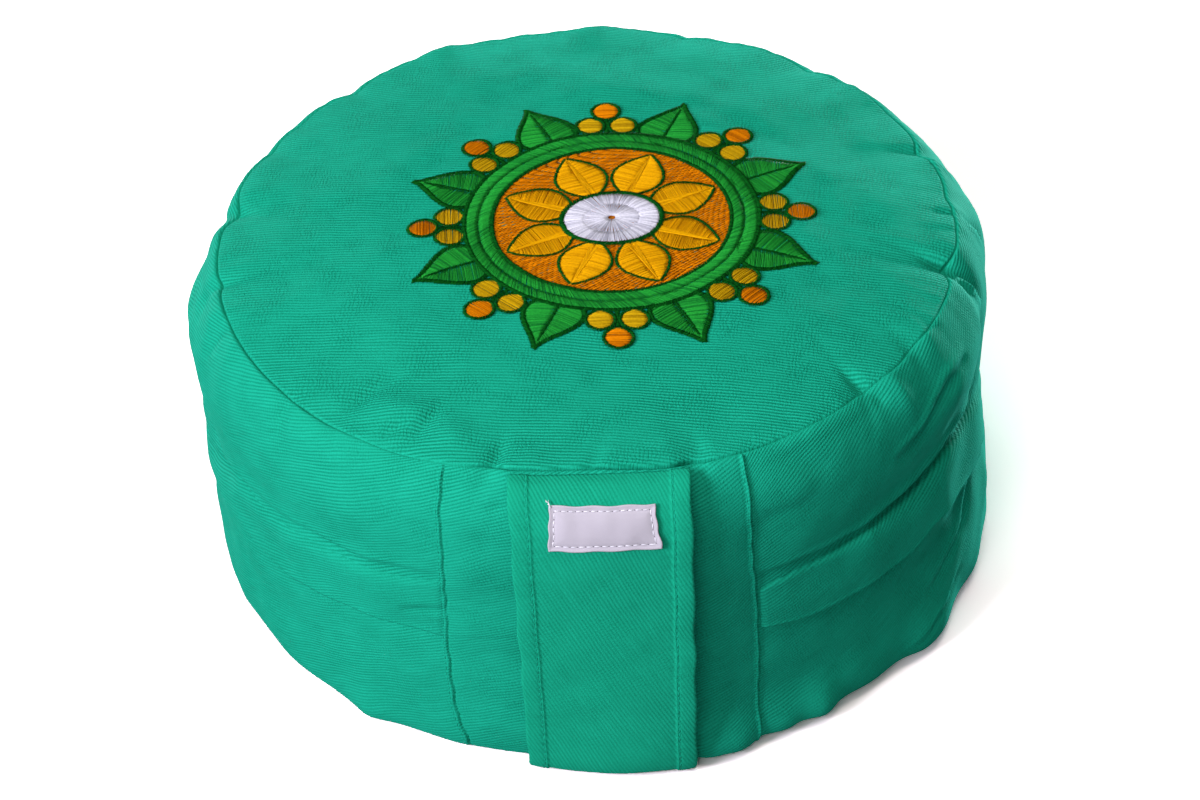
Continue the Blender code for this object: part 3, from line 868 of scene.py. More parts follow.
def simulate_cover():
    """Movement in mm of the coarse copy's points, along the surface's outward directions."""
    around, from_seam = np.meshgrid(*coarse_grid())
    start = cover_form(around, from_seam)
    outward = grid_normals(start)
    data = bpy.data.meshes.new("coarse_cover")
    data.from_pydata(start.reshape(-1, 3).tolist(), [], ring_faces(*around.shape).tolist())
    coarse = bpy.data.objects.new("coarse_cover", data)
    bpy.context.scene.collection.objects.link(coarse)
    pins, fullness = pinned_and_full(around, from_seam)
    for title, weights in (("pins", pins), ("fullness", fullness)):
        group = coarse.vertex_groups.new(name=title)
        for index, weight in enumerate(weights.ravel()):
            group.add([index], float(weight), "REPLACE")
    cloth = coarse.modifiers.new("cloth", "CLOTH")
    settings = cloth.settings
    settings.quality = 6
    settings.vertex_group_mass = "pins"
    settings.pin_stiffness = 4.0
    settings.vertex_group_shrink = "fullness"
    settings.shrink_min = 0.0
    settings.shrink_max = FULLNESS
    settings.bending_stiffness = 0.6
    settings.use_pressure = True
    settings.uniform_pressure_force = PRESSURE
    settings.effector_weights.gravity = 0.0
    cloth.collision_settings.use_collision = False
    scene = bpy.context.scene
    for number in range(1, SIM_FRAMES + 1):
        scene.frame_set(number)
    shaped = coarse.evaluated_get(bpy.context.evaluated_depsgraph_get()).to_mesh()
    found = np.empty(len(shaped.vertices) * 3, np.float32)
    shaped.vertices.foreach_get("co", found)
    moved = np.sum((found.reshape(start.shape) - start) * outward, axis=-1) / MM
    scene.frame_set(1)
    bpy.data.objects.remove(coarse)
    return moved


def soft_cap(value, cap):
    """Keeps a value below a cap on both sides, without a sharp corner."""
    return cap * np.tanh(value / cap)


def spread_to(around, from_seam, values):
    """Values of the coarse grid at other places, by straight lines between its points."""
    coarse_seam = coarse_grid()[1]
    column = (around + 180.0) / 360.0 * COARSE_COLUMNS
    row = np.interp(-from_seam, -coarse_seam, np.arange(len(coarse_seam)))
    left = np.floor(column).astype(int)
    low = np.minimum(np.floor(row).astype(int), len(coarse_seam) - 2)
    side, up = column - left, row - low
    a, b = left % COARSE_COLUMNS, (left + 1) % COARSE_COLUMNS
    lower = values[low, a] * (1 - side) + values[low, b] * side
    upper = values[low + 1, a] * (1 - side) + values[low + 1, b] * side
    return lower * (1 - up) + upper * up


def soften(values, passes):
    """Evens out a grid that closes on itself, by averaging neighbours."""
    for _ in range(passes):
        values = 0.5 * values + 0.25 * (np.roll(values, 1, axis=1) + np.roll(values, -1, axis=1))
        inner = 0.5 * values[1:-1] + 0.25 * (values[:-2] + values[2:])
        values = np.concatenate((values[:1], inner, values[-1:]))
    return values


swell = simulate_cover()
print("the cloth moved by", [round(float(end), 2) for end in (swell.min(), swell.max())], "mm")

# %% [markdown]
# ## Creases, seams and small gathers
#
# Creases are lines on the wall with a ridge on one side and a hollow on the other, or with a
# plain hollow. Each has its own points, depth and width, and fades at its ends. Puffs and dents
# are short rounded forms that may cross the top seam. The seams are narrow grooves, and the
# stitching leaves tiny gathers along them. All of it is one field, in mm along the surface's
# outward direction.

# %% Crease lines
Crease = namedtuple("Crease", "line ridge hollow width wide")

# Points are degrees round and mm up. Seen along the line, the ridge is on its left, which is
# above it when the line runs to the right, and the hollow is on its right. The hollow reaches as
# far as wide says.
CREASES = (
    Crease(
        ((20.5, 90), (26, 90), (32, 88.8), (38, 87.8), (46, 88.5), (54, 90)),
        1.0, 2.2, 1.4, 3.4,
    ),
    Crease(
        ((40, 88), (48, 88.6), (54, 90.5), (59, 93.5), (63, 95), (70, 93), (76, 91)),
        1.6, 3.6, 2.6, 7.5,
    ),
    Crease(((45, 113), (51, 116.5), (55, 122), (59, 125), (66, 126)), 1.4, 2.2, 1.9, 4.5),
    Crease(((51, 30), (57.7, 35.7), (63.4, 41.7), (68.4, 57), (72, 70)), 0.8, 1.4, 1.8, 3.5),
    Crease(((47, 10), (52, 15), (56, 17.5), (61, 24)), 0.7, 1.0, 1.3, 2.2),
    Crease(((21, 117.5), (25, 118), (31, 117)), 0.0, 0.7, 3.0, 4.0),
    Crease(
        ((22, 58.5), (33, 56.5), (45, 57.5), (50, 60.5), (54, 64), (62, 64), (72, 61)),
        0.0, 1.5, 0.9, 3.4,
    ),
    Crease(((79.9, 118), (79.2, 128), (78.3, 139)), 1.6, 2.6, 1.6, 5.0),
    Crease(((92.9, 121), (92.2, 130), (91.3, 139)), 1.0, 1.8, 1.6, 4.0),
    Crease(((101.5, 132), (104, 136), (106.7, 140)), 0.8, 1.4, 1.6, 3.0),
    Crease(
        ((-92, 69), (-84, 68.5), (-78, 70.5), (-71, 78), (-65, 84), (-58, 86.8), (-53, 87)),
        0.6, 2.2, 2.2, 5.0,
    ),
    Crease(((-56, 86.8), (-47, 89.6), (-36.5, 91.3), (-29, 94), (-22.8, 97)), 0.5, 1.5, 1.8, 3.6),
    Crease(((-30, 72.5), (-27.5, 74.6), (-25, 77.3), (-22.4, 79)), 0.2, 1.2, 1.8, 2.2),
    Crease(((-43, 89.5), (-39.5, 90.0), (-37, 89.0)), 0.2, 0.6, 1.0, 1.2),
    Crease(((-66, 118), (-52, 113), (-38, 114)), 0.2, 0.5, 4.0, 4.0),
    Crease(((-96, 126), (-90, 123), (-84, 122)), 0.5, 0.8, 2.8, 2.8),
    Crease(((-22.0, 63.5), (-17, 66.5), (-12, 69.3)), 0.15, 0.35, 0.9, 0.9),
    Crease(((97, 44), (106, 52), (118, 55)), 0.6, 1.0, 2.6, 2.6),
    Crease(((104, 108), (116, 114), (130, 112)), 0.7, 1.0, 2.6, 2.6),
    Crease(((128, 34), (137, 42), (149, 43)), 0.5, 0.9, 2.8, 2.8),
    Crease(((140, 118), (152, 112), (163, 113)), 0.6, 1.0, 2.8, 2.8),
    Crease(((164, 52), (176, 46), (187, 48)), 0.5, 0.9, 2.8, 2.8),
    Crease(((-176, 112), (-166, 118), (-154, 117)), 0.6, 0.9, 2.6, 2.6),
    Crease(((-146, 42), (-136, 50), (-124, 51)), 0.6, 1.0, 2.8, 2.8),
    Crease(((-138, 106), (-128, 112), (-116, 112)), 0.5, 0.9, 2.6, 2.6),
    Crease(((-104, 36), (-94, 42), (-84, 41)), 0.5, 0.8, 3.0, 3.0),
)  # fmt: skip


def from_line(around, height, line):
    """Distance in mm from a line on the wall, positive on its left, and the share along it."""
    steps = [(along_wall(b[0], a[0]), b[1] - a[1]) for a, b in zip(line, line[1:])]
    spans = [math.hypot(*step) for step in steps]
    nearest = np.full(around.shape, np.inf)
    signed = np.zeros(around.shape)
    share = np.zeros(around.shape)
    before = 0.0
    for (start, level), (dx, dy), span in zip(line, steps, spans):
        x, y = along_wall(around, start), height - level
        t = np.clip((x * dx + y * dy) / span**2, 0.0, 1.0)
        distance = np.hypot(x - t * dx, y - t * dy)
        closer = distance < nearest
        nearest = np.where(closer, distance, nearest)
        signed = np.where(closer, np.sign(dx * y - dy * x) * distance, signed)
        share = np.where(closer, (before + t * span) / sum(spans), share)
        before += span
    return signed, share


def on_front_panel(around):
    """True between the two upright seams, where the strap is."""
    return (around > LEFT_SEAM) & (around < RIGHT_SEAM)


def creases(around, height, column):
    """How far in mm the creases move the wall. None of them crosses an upright seam."""
    total = np.zeros(around.shape)
    for row in CREASES:
        signed, share = from_line(around, height, row.line)
        beyond = signed + 0.6 * row.width
        hollow = bell(beyond, np.where(beyond > 0.0, row.width, row.wide))
        profile = row.ridge * bell(signed - row.width, row.width) - row.hollow * hollow
        middle = row.line[len(row.line) // 2][0]
        same_panel = on_front_panel(column) == (LEFT_SEAM < middle < RIGHT_SEAM)
        total += profile * np.sin(math.pi * np.clip(share, 0.0, 1.0)) ** 0.6 * same_panel
    return total


# %% Seams and gathers
# Depth in mm of the top seam's groove, at degrees round.
SEAM_DEPTH = (
    (-180, 1.4), (-100, 1.5), (-62, 1.5), (-48, 1.2), (-38, 0.6), (-20, 0.4), (-15, 2.6), (13, 2.8),
    (17, 1.6), (26, 1.2), (38, 0.7), (60, 0.7), (75, 1.2), (120, 1.3), (180, 1.4),
)  # fmt: skip
SEAM_HALF_WIDTH_MM = 0.42


def top_seam(around, from_seam):
    """The narrow groove of the top seam, which nearly vanishes left of the strap."""
    width = SEAM_HALF_WIDTH_MM * (1.0 + bell(around + 1.0, 13.0))
    profile = 0.12 * bell(from_seam - 1.7, 0.9) - bell(from_seam, width)
    return from_table(SEAM_DEPTH, around) * profile


# Rounded puffs and dents: a place, half length and half width in mm, the slope of its length in
# degrees, its depth. Distances from the top seam are negative on the top.
Puff = namedtuple("Puff", "around from_seam length width slope depth")
PUFFS = (
    Puff(-33, -19, 17, 8, 8, 2.5),
    Puff(-42, -19, 14, 4.5, 80, -1.8),
    Puff(-33, -9.5, 5, 2.6, 60, -1.2),
    Puff(-28.6, -18, 9, 3.5, 80, -2.0),
    Puff(-23.5, -14, 11, 7, 0, 1.7),
    Puff(-30, 1.5, 13, 5, 0, -1.8),
    Puff(-15.2, -7, 9, 2.4, 90, -1.8),
    Puff(-10, -8, 6, 6, 0, 0.7),
    Puff(-73.5, 10, 12, 4.5, 74, -1.8),
    Puff(-67, 9, 10, 5, 80, 0.6),
    Puff(-51.4, 7, 9, 3.2, 90, -2.0),
    Puff(-55.5, 5, 6, 5, 90, 1.0),
    Puff(-84, 12, 6, 5, 0, -1.4),
    Puff(-77.6, 6, 5, 4, 90, 0.8),
    Puff(-62.5, 8, 7, 4, 80, -0.5),
    Puff(-14.2, 14, 3, 3, 0, -1.0),
    Puff(-16, 30, 7, 6, 0, -0.7),
    Puff(15.5, -5, 7, 3, 90, -0.9),
    Puff(45, -5, 8, 2.6, 84, -2.4),
    Puff(46, 4.5, 4.5, 2.6, 90, -1.8),
    Puff(49.5, 8, 11, 4.5, 100, 1.9),
    Puff(40, -6, 8, 5, 90, 0.6),
    Puff(33.5, 3.4, 30, 2.6, 0, 0.7),
    Puff(29.5, 12, 15, 5, -35, -1.6),
    Puff(79, -4, 7, 2.4, 90, -1.7),
    Puff(62.7, 0.5, 4, 3, 90, -0.6),
    Puff(91.5, -3, 6, 2.4, 90, -1.0),
)  # fmt: skip


def puffs(around, from_seam):
    """How far in mm the puffs and dents move a point."""
    return sum(
        oval(row, along_wall(around, row.around), row.from_seam - from_seam) for row in PUFFS
    )


# Strength of the seam's small ruffles, at degrees round.
RUFFLE_SHARES = ((-180, 0.9), (-60, 0.6), (-30, 0.3), (30, 0.4), (60, 0.8), (130, 1.0), (180, 0.9))


def seam_gathers(around, from_seam):
    """Small gathers that the stitching leaves on both sides of the top seam."""
    ruffle = lumps(wall_run(around), 0.0, (0.16, 9.0, 11), (0.22, 17.0, 12))
    tight = from_table(RUFFLE_SHARES, around)
    reach = np.where(from_seam > 0, 11.0, 8.0)
    pinches = np.zeros(around.shape)
    for row in GATHERS:
        lean = along_wall(around, row.around) + 0.35 * from_seam
        sharp = -0.55 * bell(lean, 2.6) + 0.30 * (bell(lean - 5.5, 3.0) + bell(lean + 5.5, 3.0))
        pinches += row.pull / 3.0 * sharp * np.exp(-np.abs(from_seam) / (0.6 * row.reach))
    near = 1.0 - bell(from_seam, 0.8)
    return (ruffle * tight * np.exp(-np.abs(from_seam) / reach) + pinches) * near


# Ridge, groove and step of the upright seams in mm, at heights in mm.
LEFT_FORM = (
    (0, 0.35, 1.0, 0.3), (60, 0.35, 0.7, 0.2), (100, 0.35, 0.6, 0.2), (118, 0.6, 0.4, 0.2),
    (142, 0.9, 0.4, 0.2),
)  # fmt: skip
RIGHT_FORM = ((0, 0.75, 0.9, 0.5), (100, 0.75, 0.9, 0.5), (142, 0.9, 1.1, 0.5))
BEAD_MM = 2.9
UPRIGHT_FADE_MM = 12.0


def upright_seams(around, height):
    """The two upright seams: a narrow raised fold with an uneven groove to its right."""
    total = np.zeros(around.shape)
    for number, (seam, table) in enumerate(zip(UPRIGHT_SEAMS, (LEFT_FORM, RIGHT_FORM))):
        levels, *forms = zip(*table)
        ridge, groove, step = (np.interp(height, levels, column) for column in forms)
        x = along_wall(around, seam) + lumps(height, 0.0, (0.28, 11.0, 13 + number))
        beads = 0.8 + 0.35 * np.sin(2.0 * math.pi * height / BEAD_MM)
        total += ridge * (bell(x + 0.85, 0.60) - 0.2 * bell(x + 2.1, 0.6))
        total -= groove * beads * bell(x - 0.35, 0.40)
        total -= step * rise(x, -0.2, 0.9) * np.exp(-np.abs(x) / UPRIGHT_FADE_MM)
        total -= 0.30 * bell(x, 5.0)
    return total * rise(height, 1.0, 5.0)


# %% The whole field of small forms
MEDALLION_X_MM = 8.4
MEDALLION_RADIUS_MM = 87.0


def unevenness(points, around, from_seam, height):
    """Lumps of the filling and slack of the cloth."""
    run = wall_run(around)
    wall = lumps(run, height * 1.3, (0.42, 46.0, 3)) + lumps(run, height, (0.16, 19.0, 4))
    top = lumps(points[..., 0] / MM, points[..., 1] / MM, (0.38, 60.0, 5), (0.12, 24.0, 6))
    blend = rise(from_seam, -6.0, 6.0)
    return wall * blend + top * (1.0 - blend)


def medallion_pull(points):
    """The stitching of the medallion draws the cloth in a little round its edge."""
    x, y = points[..., 0] / MM - MEDALLION_X_MM, points[..., 1] / MM
    out, turn = np.hypot(x, y), np.arctan2(y, x)
    beyond = out - MEDALLION_RADIUS_MM
    ripples = 0.16 * np.sin(16.0 * turn + 1.3 * np.sin(3.0 * turn))
    return ripples * bell(beyond - 4.0, 6.0) - 0.30 * bell(beyond - 1.0, 5.0)


def small_forms(points, around, from_seam):
    """Movement in mm of the cover's points along their outward directions."""
    height = points[..., 2] / MM
    folded = creases(around + stray(around, from_seam), height, around)
    wall = (from_seam > 0.0) * (folded + upright_seams(around, height) * rise(from_seam, 0.0, 3.0))
    fade = rise(height, 0.0, 6.0)
    seam = top_seam(around, from_seam) + seam_gathers(around, from_seam)
    top = (from_seam < 0.0) * medallion_pull(points)
    wall = wall + unevenness(points, around, from_seam, height)
    return wall * fade + puffs(around, from_seam) + seam + top


swollen = soft_cap(soften(swell, 1), SWELL_CAP_MM)
carried = spread_to(grid_around, grid_seam, swollen)
outward = grid_normals(plain_cover)
movement = (carried + small_forms(plain_cover, grid_around, grid_seam)) * MM
cover = plain_cover + outward * movement[..., None]
cover_out = grid_normals(cover)
ends = [round(float(end / MM), 2) for end in (movement.min(), movement.max())]
print("the cover moved by", ends, "mm")

# %% [markdown]
# ## From the grid to a mesh
#
# The rings of points become one closed mesh: base, wall and top. The inner rings of the top and
# of the base have half and then a quarter of the columns. Each face corner also gets its place on
# the cloth, in metres and turned along the ribs, in a map named weave. The wall's map follows the
# length of cloth, so the ribs bend with the folds.

# %% The weave map
WALL_RIB_DEGREES = 21.5
TOP_RIB_DEGREES = -9.0
PANEL_SHIFT_MM = 0.6
FAN_MM, FAN_REACH_MM, FAN_END = 7.0, 14.0, 120.0


def turned(u, v, degrees):
    """Coordinates in mm turned so that x runs along ribs that climb at an angle."""
    angle = math.radians(degrees)
    along = u * math.cos(angle) + v * math.sin(angle)
    return np.stack((along, v * math.cos(angle) - u * math.sin(angle)), axis=-1)


def wall_map(around, from_seam):
    """Weave coordinates of the wall in metres, with ribs that fan out at the right seam's top."""
    run, up = wall_run(around), WALL_LENGTH - from_seam
    found = turned(run, up, WALL_RIB_DEGREES)
    found[..., 1] += lumps(run, up, (1.1, 75.0, 21), (0.35, 26.0, 22))
    beside = np.maximum(0.0, wall_run(around - RIGHT_SEAM)) * (around < FAN_END)
    found[..., 1] -= FAN_MM * (1.0 - np.exp(-beside / FAN_REACH_MM)) * bell(from_seam - 4.0, 26.0)
    return found * MM


def flat_map(points):
    """Weave coordinates of the top and the base in metres: their ribs run across the cushion."""
    x, y = points[..., 0] / MM, points[..., 1] / MM
    found = turned(x, y, TOP_RIB_DEGREES)
    found[..., 1] += lumps(x, y, (0.8, 90.0, 23))
    return found * MM


# %% Rings of the cover
def inner_rings(columns_used, distances):
    """Rings of the top nearer its middle, on fewer columns."""
    around, from_seam = np.meshgrid(columns_used, -np.asarray(distances))
    plain = cover_form(around, from_seam)
    moved = (spread_to(around, from_seam, swollen) + small_forms(plain, around, from_seam)) * MM
    return plain + grid_normals(plain) * moved[..., None]


# Rings of the base from its middle outwards: one column of how many they use, their radius and
# height in mm, and the share that they take of the foot's lift.
BASE_RINGS = (
    (4, 35.0, 0.0, 0.0),
    (4, 85.0, 0.0, 0.0),
    (2, 130.0, 0.0, 0.0),
    (1, 153.5, 0.0, 0.0),
    (1, 155.4, 0.1, 0.25),
    (1, 156.8, 0.5, 0.65),
)
NEAR_RINGS_TO_MM = 100.0
FAR_RINGS = 10
MIDDLE_GAP_MM = 4.0


def base_rings():
    """Rings of the base, with their columns and cloth."""
    rings = []
    for step, radius, height, share in BASE_RINGS:
        used = columns[::step]
        around = used + stray(used, WALL_LENGTH)
        rings.append((used, place(around, radius, height + share * foot_lift(around, 0.0)), "base"))
    return rings


def cover_rings():
    """All the rings, from the base's middle to the top's, with their columns and cloth."""
    near = np.arange(-rows[-1] + INNER_STEP_MM, NEAR_RINGS_TO_MM, INNER_STEP_MM)
    last = TOP_SEAM_RADIUS / MM - MIDDLE_GAP_MM
    far = np.linspace(near[-1] + 1.3 * INNER_STEP_MM, last, FAR_RINGS)
    rings = base_rings()
    rings += [(columns, ring, "wall") for ring in cover[: SEAM_ROW + 1]]
    rings += [(columns, ring, "top") for ring in cover[SEAM_ROW + 1 :]]
    for used, distances in ((columns[::2], near), (columns[::4], far)):
        rings += [(used, ring, "top") for ring in inner_rings(used, distances)]
    return rings


def band(lower, upper):
    """Faces between two rings of point numbers, of which one may have half as many points."""
    if len(lower) == len(upper):
        return [(lower[n - 1], lower[n], upper[n], upper[n - 1]) for n in range(len(lower))]
    faces = []
    fine, coarse, flip = (lower, upper, False) if len(lower) > len(upper) else (upper, lower, True)
    for n in range(len(coarse)):
        a, b, c = fine[2 * n], fine[2 * n + 1], fine[(2 * n + 2) % len(fine)]
        d, e = coarse[n], coarse[(n + 1) % len(coarse)]
        made = [(a, b, d), (b, c, e, d)]
        faces += [tuple(reversed(face)) for face in made] if flip else made
    return faces


# %% The cover's mesh
def add_weave_map(data, corner_map):
    """Stores a coordinate in metres for every face corner."""
    layer = data.uv_layers.new(name=WEAVE_MAP)
    layer.data.foreach_set("uv", np.ascontiguousarray(corner_map, np.float32).ravel())


def store(data, name, values):
    """Stores a number for every point, which a material reads."""
    data.attributes.new(name, "FLOAT", "POINT").data.foreach_set("value", values.astype(np.float32))


def build_cover():
    """The closed cover: base, wall and crowned top."""
    rings = cover_rings()
    points, around, numbers = [], [], []
    for ring_columns, ring, _ in rings:
        numbers.append(list(range(len(points), len(points) + len(ring))))
        points += ring.tolist()
        around += list(ring_columns)
    faces, cloths = [], []
    for lower, upper, (_, _, cloth) in zip(numbers, numbers[1:], rings[1:]):
        made = band(lower, upper)
        faces += made
        cloths += [cloth] * len(made)
    middle_low, middle_high = len(points), len(points) + 1
    points += [(0.0, 0.0, 0.0), tuple(np.mean(rings[-1][1], axis=0) + np.array((0, 0, 0.1 * MM)))]
    around += [0.0, 0.0]
    first, last = numbers[0], numbers[-1]
    faces += [(first[n], first[n - 1], middle_low) for n in range(len(first))]
    faces += [(last[n - 1], last[n], middle_high) for n in range(len(last))]
    cloths += ["base"] * len(first) + ["top"] * len(last)
    data = bpy.data.meshes.new("cushion_cover")
    data.from_pydata(points, [], faces)
    points, around = np.array(points), np.array(around)
    from_seam = np.full(len(points), WALL_LENGTH)
    for ring_numbers, distance in zip(numbers[len(BASE_RINGS) :], rows):
        from_seam[ring_numbers] = distance
    from_seam[numbers[len(BASE_RINGS) + len(rows)][0] :] = rows[-1]
    add_weave_map(data, cover_corner_map(points, around, from_seam, faces, cloths))
    store(data, "rib_fade", rib_fade(points, around, from_seam))
    return data, [0 if cloth == "wall" else 1 for cloth in cloths]


def cover_corner_map(points, around, from_seam, faces, cloths):
    """Weave coordinates of every face corner of the cover."""
    sizes = np.array([len(face) for face in faces])
    corner_point = np.concatenate([np.array(face) for face in faces])
    corner_face = np.repeat(np.arange(len(faces)), sizes)
    first_corner = np.repeat(np.cumsum(sizes) - sizes, sizes)
    turn = around[corner_point]
    base_turn = turn[first_corner]
    turn = turn + 360.0 * np.round((base_turn - turn) / 360.0)
    on_wall = np.array([cloth == "wall" for cloth in cloths])[corner_face]
    wall = wall_map(turn, from_seam[corner_point])
    middle = np.bincount(corner_face, turn) / sizes
    front = on_front_panel(middle)[corner_face]
    wall[..., 1] += front * PANEL_SHIFT_MM * MM
    return np.where(on_wall[:, None], wall, flat_map(points[corner_point]))


def add_piece(name, data, finish):
    """Puts a mesh in the scene as a piece that rides on the cushion."""
    data.materials.append(finish)
    data.shade_smooth()
    piece = bpy.data.objects.new(name, data)
    bpy.context.scene.collection.objects.link(piece)
    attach(piece, "root")
    return piece


def rib_fade(points, around, from_seam):
    """How far the ribs are stretched smooth, from 0 to 1, less at creases and at the front."""
    height = points[..., 2] / MM
    right = rise(around, 21.0, 40.0) * (1.0 - rise(around, 120.0, 150.0))
    folded = np.abs(creases(around, height, around)) * (from_seam > 0.0)
    wall = (0.25 + 0.45 * right) * (1.0 - bell(from_seam, 13.0)) - 0.35 * folded
    front = bell(points[..., 1] / MM + 150.0, 75.0)
    cloth = np.clip(np.where(from_seam > 0.0, wall, 0.30 - 0.35 * front), 0.0, 0.8)
    return np.maximum(cloth, bell(from_seam, 0.7))


cover_data, cloth_numbers = build_cover()
cushion_cover = add_piece("cushion_cover", cover_data, wall_twill)
cover_data.materials.append(top_twill)
cover_data.polygons.foreach_set("material_index", cloth_numbers)
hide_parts("cushion")
print("cover:", len(cushion_cover.data.polygons), "faces")

# %% [markdown]
# ## Laying cloth on cloth
#
# The flap, the seams' stitches and the medallion all lie on the cover, so they start from its
# finished surface. One function reads a point of the fine grid at any place, raised by a
# thickness along the outward direction. A sheet of cloth is then two grids of points, its face
# and its back, joined round their edges into one thin closed form.

# %% Points on the cover and closed sheets
def on_cover(around, from_seam, raised=0.0):
    """Points on the finished cover, raised by a distance in mm, and the directions there."""
    count = len(columns)
    turn = (np.asarray(around, float) - columns[0]) % 360.0 + columns[0]
    column = np.interp(turn, np.append(columns, columns[0] + 360.0), np.arange(count + 1))
    row = np.interp(-np.asarray(from_seam, float), -rows, np.arange(len(rows)))
    column, row = np.broadcast_arrays(column, row)
    left = np.minimum(np.floor(column).astype(int), count - 1)
    low = np.minimum(np.floor(row).astype(int), len(rows) - 2)
    side, up = (column - left)[..., None], (row - low)[..., None]
    after = (left + 1) % count

    def read(grid):
        lower = grid[low, left] * (1 - side) + grid[low, after] * side
        upper = grid[low + 1, left] * (1 - side) + grid[low + 1, after] * side
        return lower * (1 - up) + upper * up

    facing = read(cover_out)
    facing = facing / np.linalg.norm(facing, axis=-1, keepdims=True)
    return read(cover) + facing * (np.asarray(raised) * MM)[..., None], facing


def sheet_mesh(name, back, face, corner_map):
    """One closed thin sheet from two matching grids: rows run down, columns to the right."""
    high, wide = face.shape[:2]
    count = high * wide
    points = np.concatenate((face.reshape(-1, 3), back.reshape(-1, 3)))
    index = np.arange(count).reshape(high, wide)
    a, b, c, d = index[:-1, :-1], index[:-1, 1:], index[1:, 1:], index[1:, :-1]
    front = np.stack((a, d, c, b), axis=-1).reshape(-1, 4)
    rear = np.stack((a, b, c, d), axis=-1).reshape(-1, 4) + count
    rim = np.concatenate((index[0, :-1], index[:-1, -1], index[-1, :0:-1], index[:0:-1, 0]))
    after = np.roll(rim, -1)
    edge = np.stack((rim, after, after + count, rim + count), axis=-1)
    faces = np.concatenate((front, rear, edge))
    data = bpy.data.meshes.new(name)
    data.from_pydata(points.tolist(), [], faces.tolist())
    flat = np.asarray(corner_map).reshape(-1, 2)
    add_weave_map(data, np.concatenate((flat, flat))[faces.ravel()])
    return data


# %% [markdown]
# ## The flap
#
# A lap of doubled cloth covers the opening that runs round the wall from one upright seam to the
# other, past the back. It is sewn along its upper edge, where it grows out of the wall, and its
# ends are caught in the seams. Its lower edge hangs free and stands proud on the right. On the
# left it lies flat. Tables give its edges and its thickness.

# %% Flap
# Tables give degrees round from the strap, rightwards, and a value in mm: the heights of the
# upper and lower edges, how far the flap stands proud, and how far below its upper edge it takes
# to get there.
FLAP_EDGE_START = RIGHT_SEAM + 0.1
FLAP_EDGE_END = LEFT_SEAM - 0.1 + 360.0
FLAP_COLUMNS = 700
FLAP_ROWS = 34
FLAP_UPPER = (
    (20, 81), (23, 84.3), (27, 85.4), (36, 85.6), (44, 86), (52, 87), (60, 89), (70, 88), (80, 86),
    (180, 86), (270, 85), (290, 86), (301, 86.5), (313, 89), (323, 91), (331, 93), (339, 96),
)  # fmt: skip
FLAP_LOWER = (
    (20, 60.7), (24, 60.4), (28, 59.2), (33, 58.1), (39, 58.7), (45, 59.2), (48, 60.4), (50, 62.4),
    (52.5, 65.2), (60, 66), (72, 63), (85, 59), (180, 58.5), (270, 57), (310, 57.5), (321, 60.4),
    (329, 61.4), (339, 62.5),
)  # fmt: skip
FLAP_PROUD = (
    (20, 1.3), (30, 1.6), (42, 2.0), (50, 3.2), (56, 3.4), (64, 2.6), (80, 1.8), (180, 1.4),
    (260, 1.1), (290, 0.3), (339, 0.3),
)  # fmt: skip
FLAP_SOFT = (
    (20, 1.4), (40, 2.0), (58, 3.6), (90, 4.4), (110, 3.0), (250, 3.0), (290, 8.0), (330, 8.0),
    (339, 4.0),
)  # fmt: skip
FLAP_GAP_MM = 0.30
FLAP_SUNK_MM = 0.7
FLAP_LIP_MM = 0.35


def level_to_seam(height):
    """Distance below the top seam of a height on the plain wall."""
    ways = np.interp(height, SECTION_HEIGHTS, np.linspace(0.0, 1.0, len(SECTION_HEIGHTS)))
    return WALL_LENGTH - np.interp(ways, wall_ways, wall_lengths)


def flap_grids():
    """Face and back of the flap, and its places on the wall."""
    around = np.linspace(FLAP_EDGE_START, FLAP_EDGE_END, FLAP_COLUMNS)
    share = np.linspace(0.0, 1.0, FLAP_ROWS) ** 0.9
    tables = (FLAP_UPPER, FLAP_LOWER, FLAP_PROUD, FLAP_SOFT)
    upper, lower, proud, soft = (from_table(table, around) for table in tables)
    run = wall_run(around)
    lower = lower + lumps(run, 0.0, (0.3, 34.0, 31))
    height = upper + (lower - upper) * share[:, None]
    from_seam = level_to_seam(height)
    grid_turn = np.broadcast_to(around, height.shape)
    from_top, from_low = (upper - height), (height - lower)
    from_end = wall_run(np.minimum(around - around[0], around[-1] - around))
    free = rise(from_top, 0.0, soft) * rise(from_end, 0.0, 2.6)
    belly = (0.25 + lumps(run, height, (0.25, 30.0, 32))) * np.sin(math.pi * share[:, None])
    thick = proud * (0.62 + 0.38 * share[:, None] ** 2) + belly
    thick *= 0.6 + 0.4 * rise(from_low, 0.0, 0.5)
    thick += FLAP_LIP_MM * np.minimum(1.0, proud) * bell(from_low - 0.8, 0.7)
    face, _ = on_cover(grid_turn, from_seam, (FLAP_GAP_MM + thick) * free - 0.45 * (1.0 - free))
    back, _ = on_cover(grid_turn, from_seam, FLAP_GAP_MM * free - FLAP_SUNK_MM * (1.0 - free))
    return face, back, grid_turn, from_seam


def build_flap():
    """The flap, with the wall's own weave direction."""
    face, back, around, from_seam = flap_grids()
    corner_map = wall_map(around, from_seam) + np.array((0.0, 0.35 * MM))
    data = sheet_mesh("zip_flap_cloth", back, face, corner_map)
    fade = rib_fade(face, around, from_seam).ravel()
    store(data, "rib_fade", np.concatenate((fade, fade)))
    return data


flap = add_piece("zip_flap_cloth", build_flap(), wall_twill)
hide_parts("zip_flap")

# %% [markdown]
# ## The carry strap
#
# The strap is a band of the same twill with its sides turned in and stitched down. It is held at
# the top seam and under the foot, and stands clear of the wall between them, so it could be
# simulated, but its shape is fixed by a few heights and distances and is better drawn: a smooth
# curve down its middle, bent back at both sides and twisted.

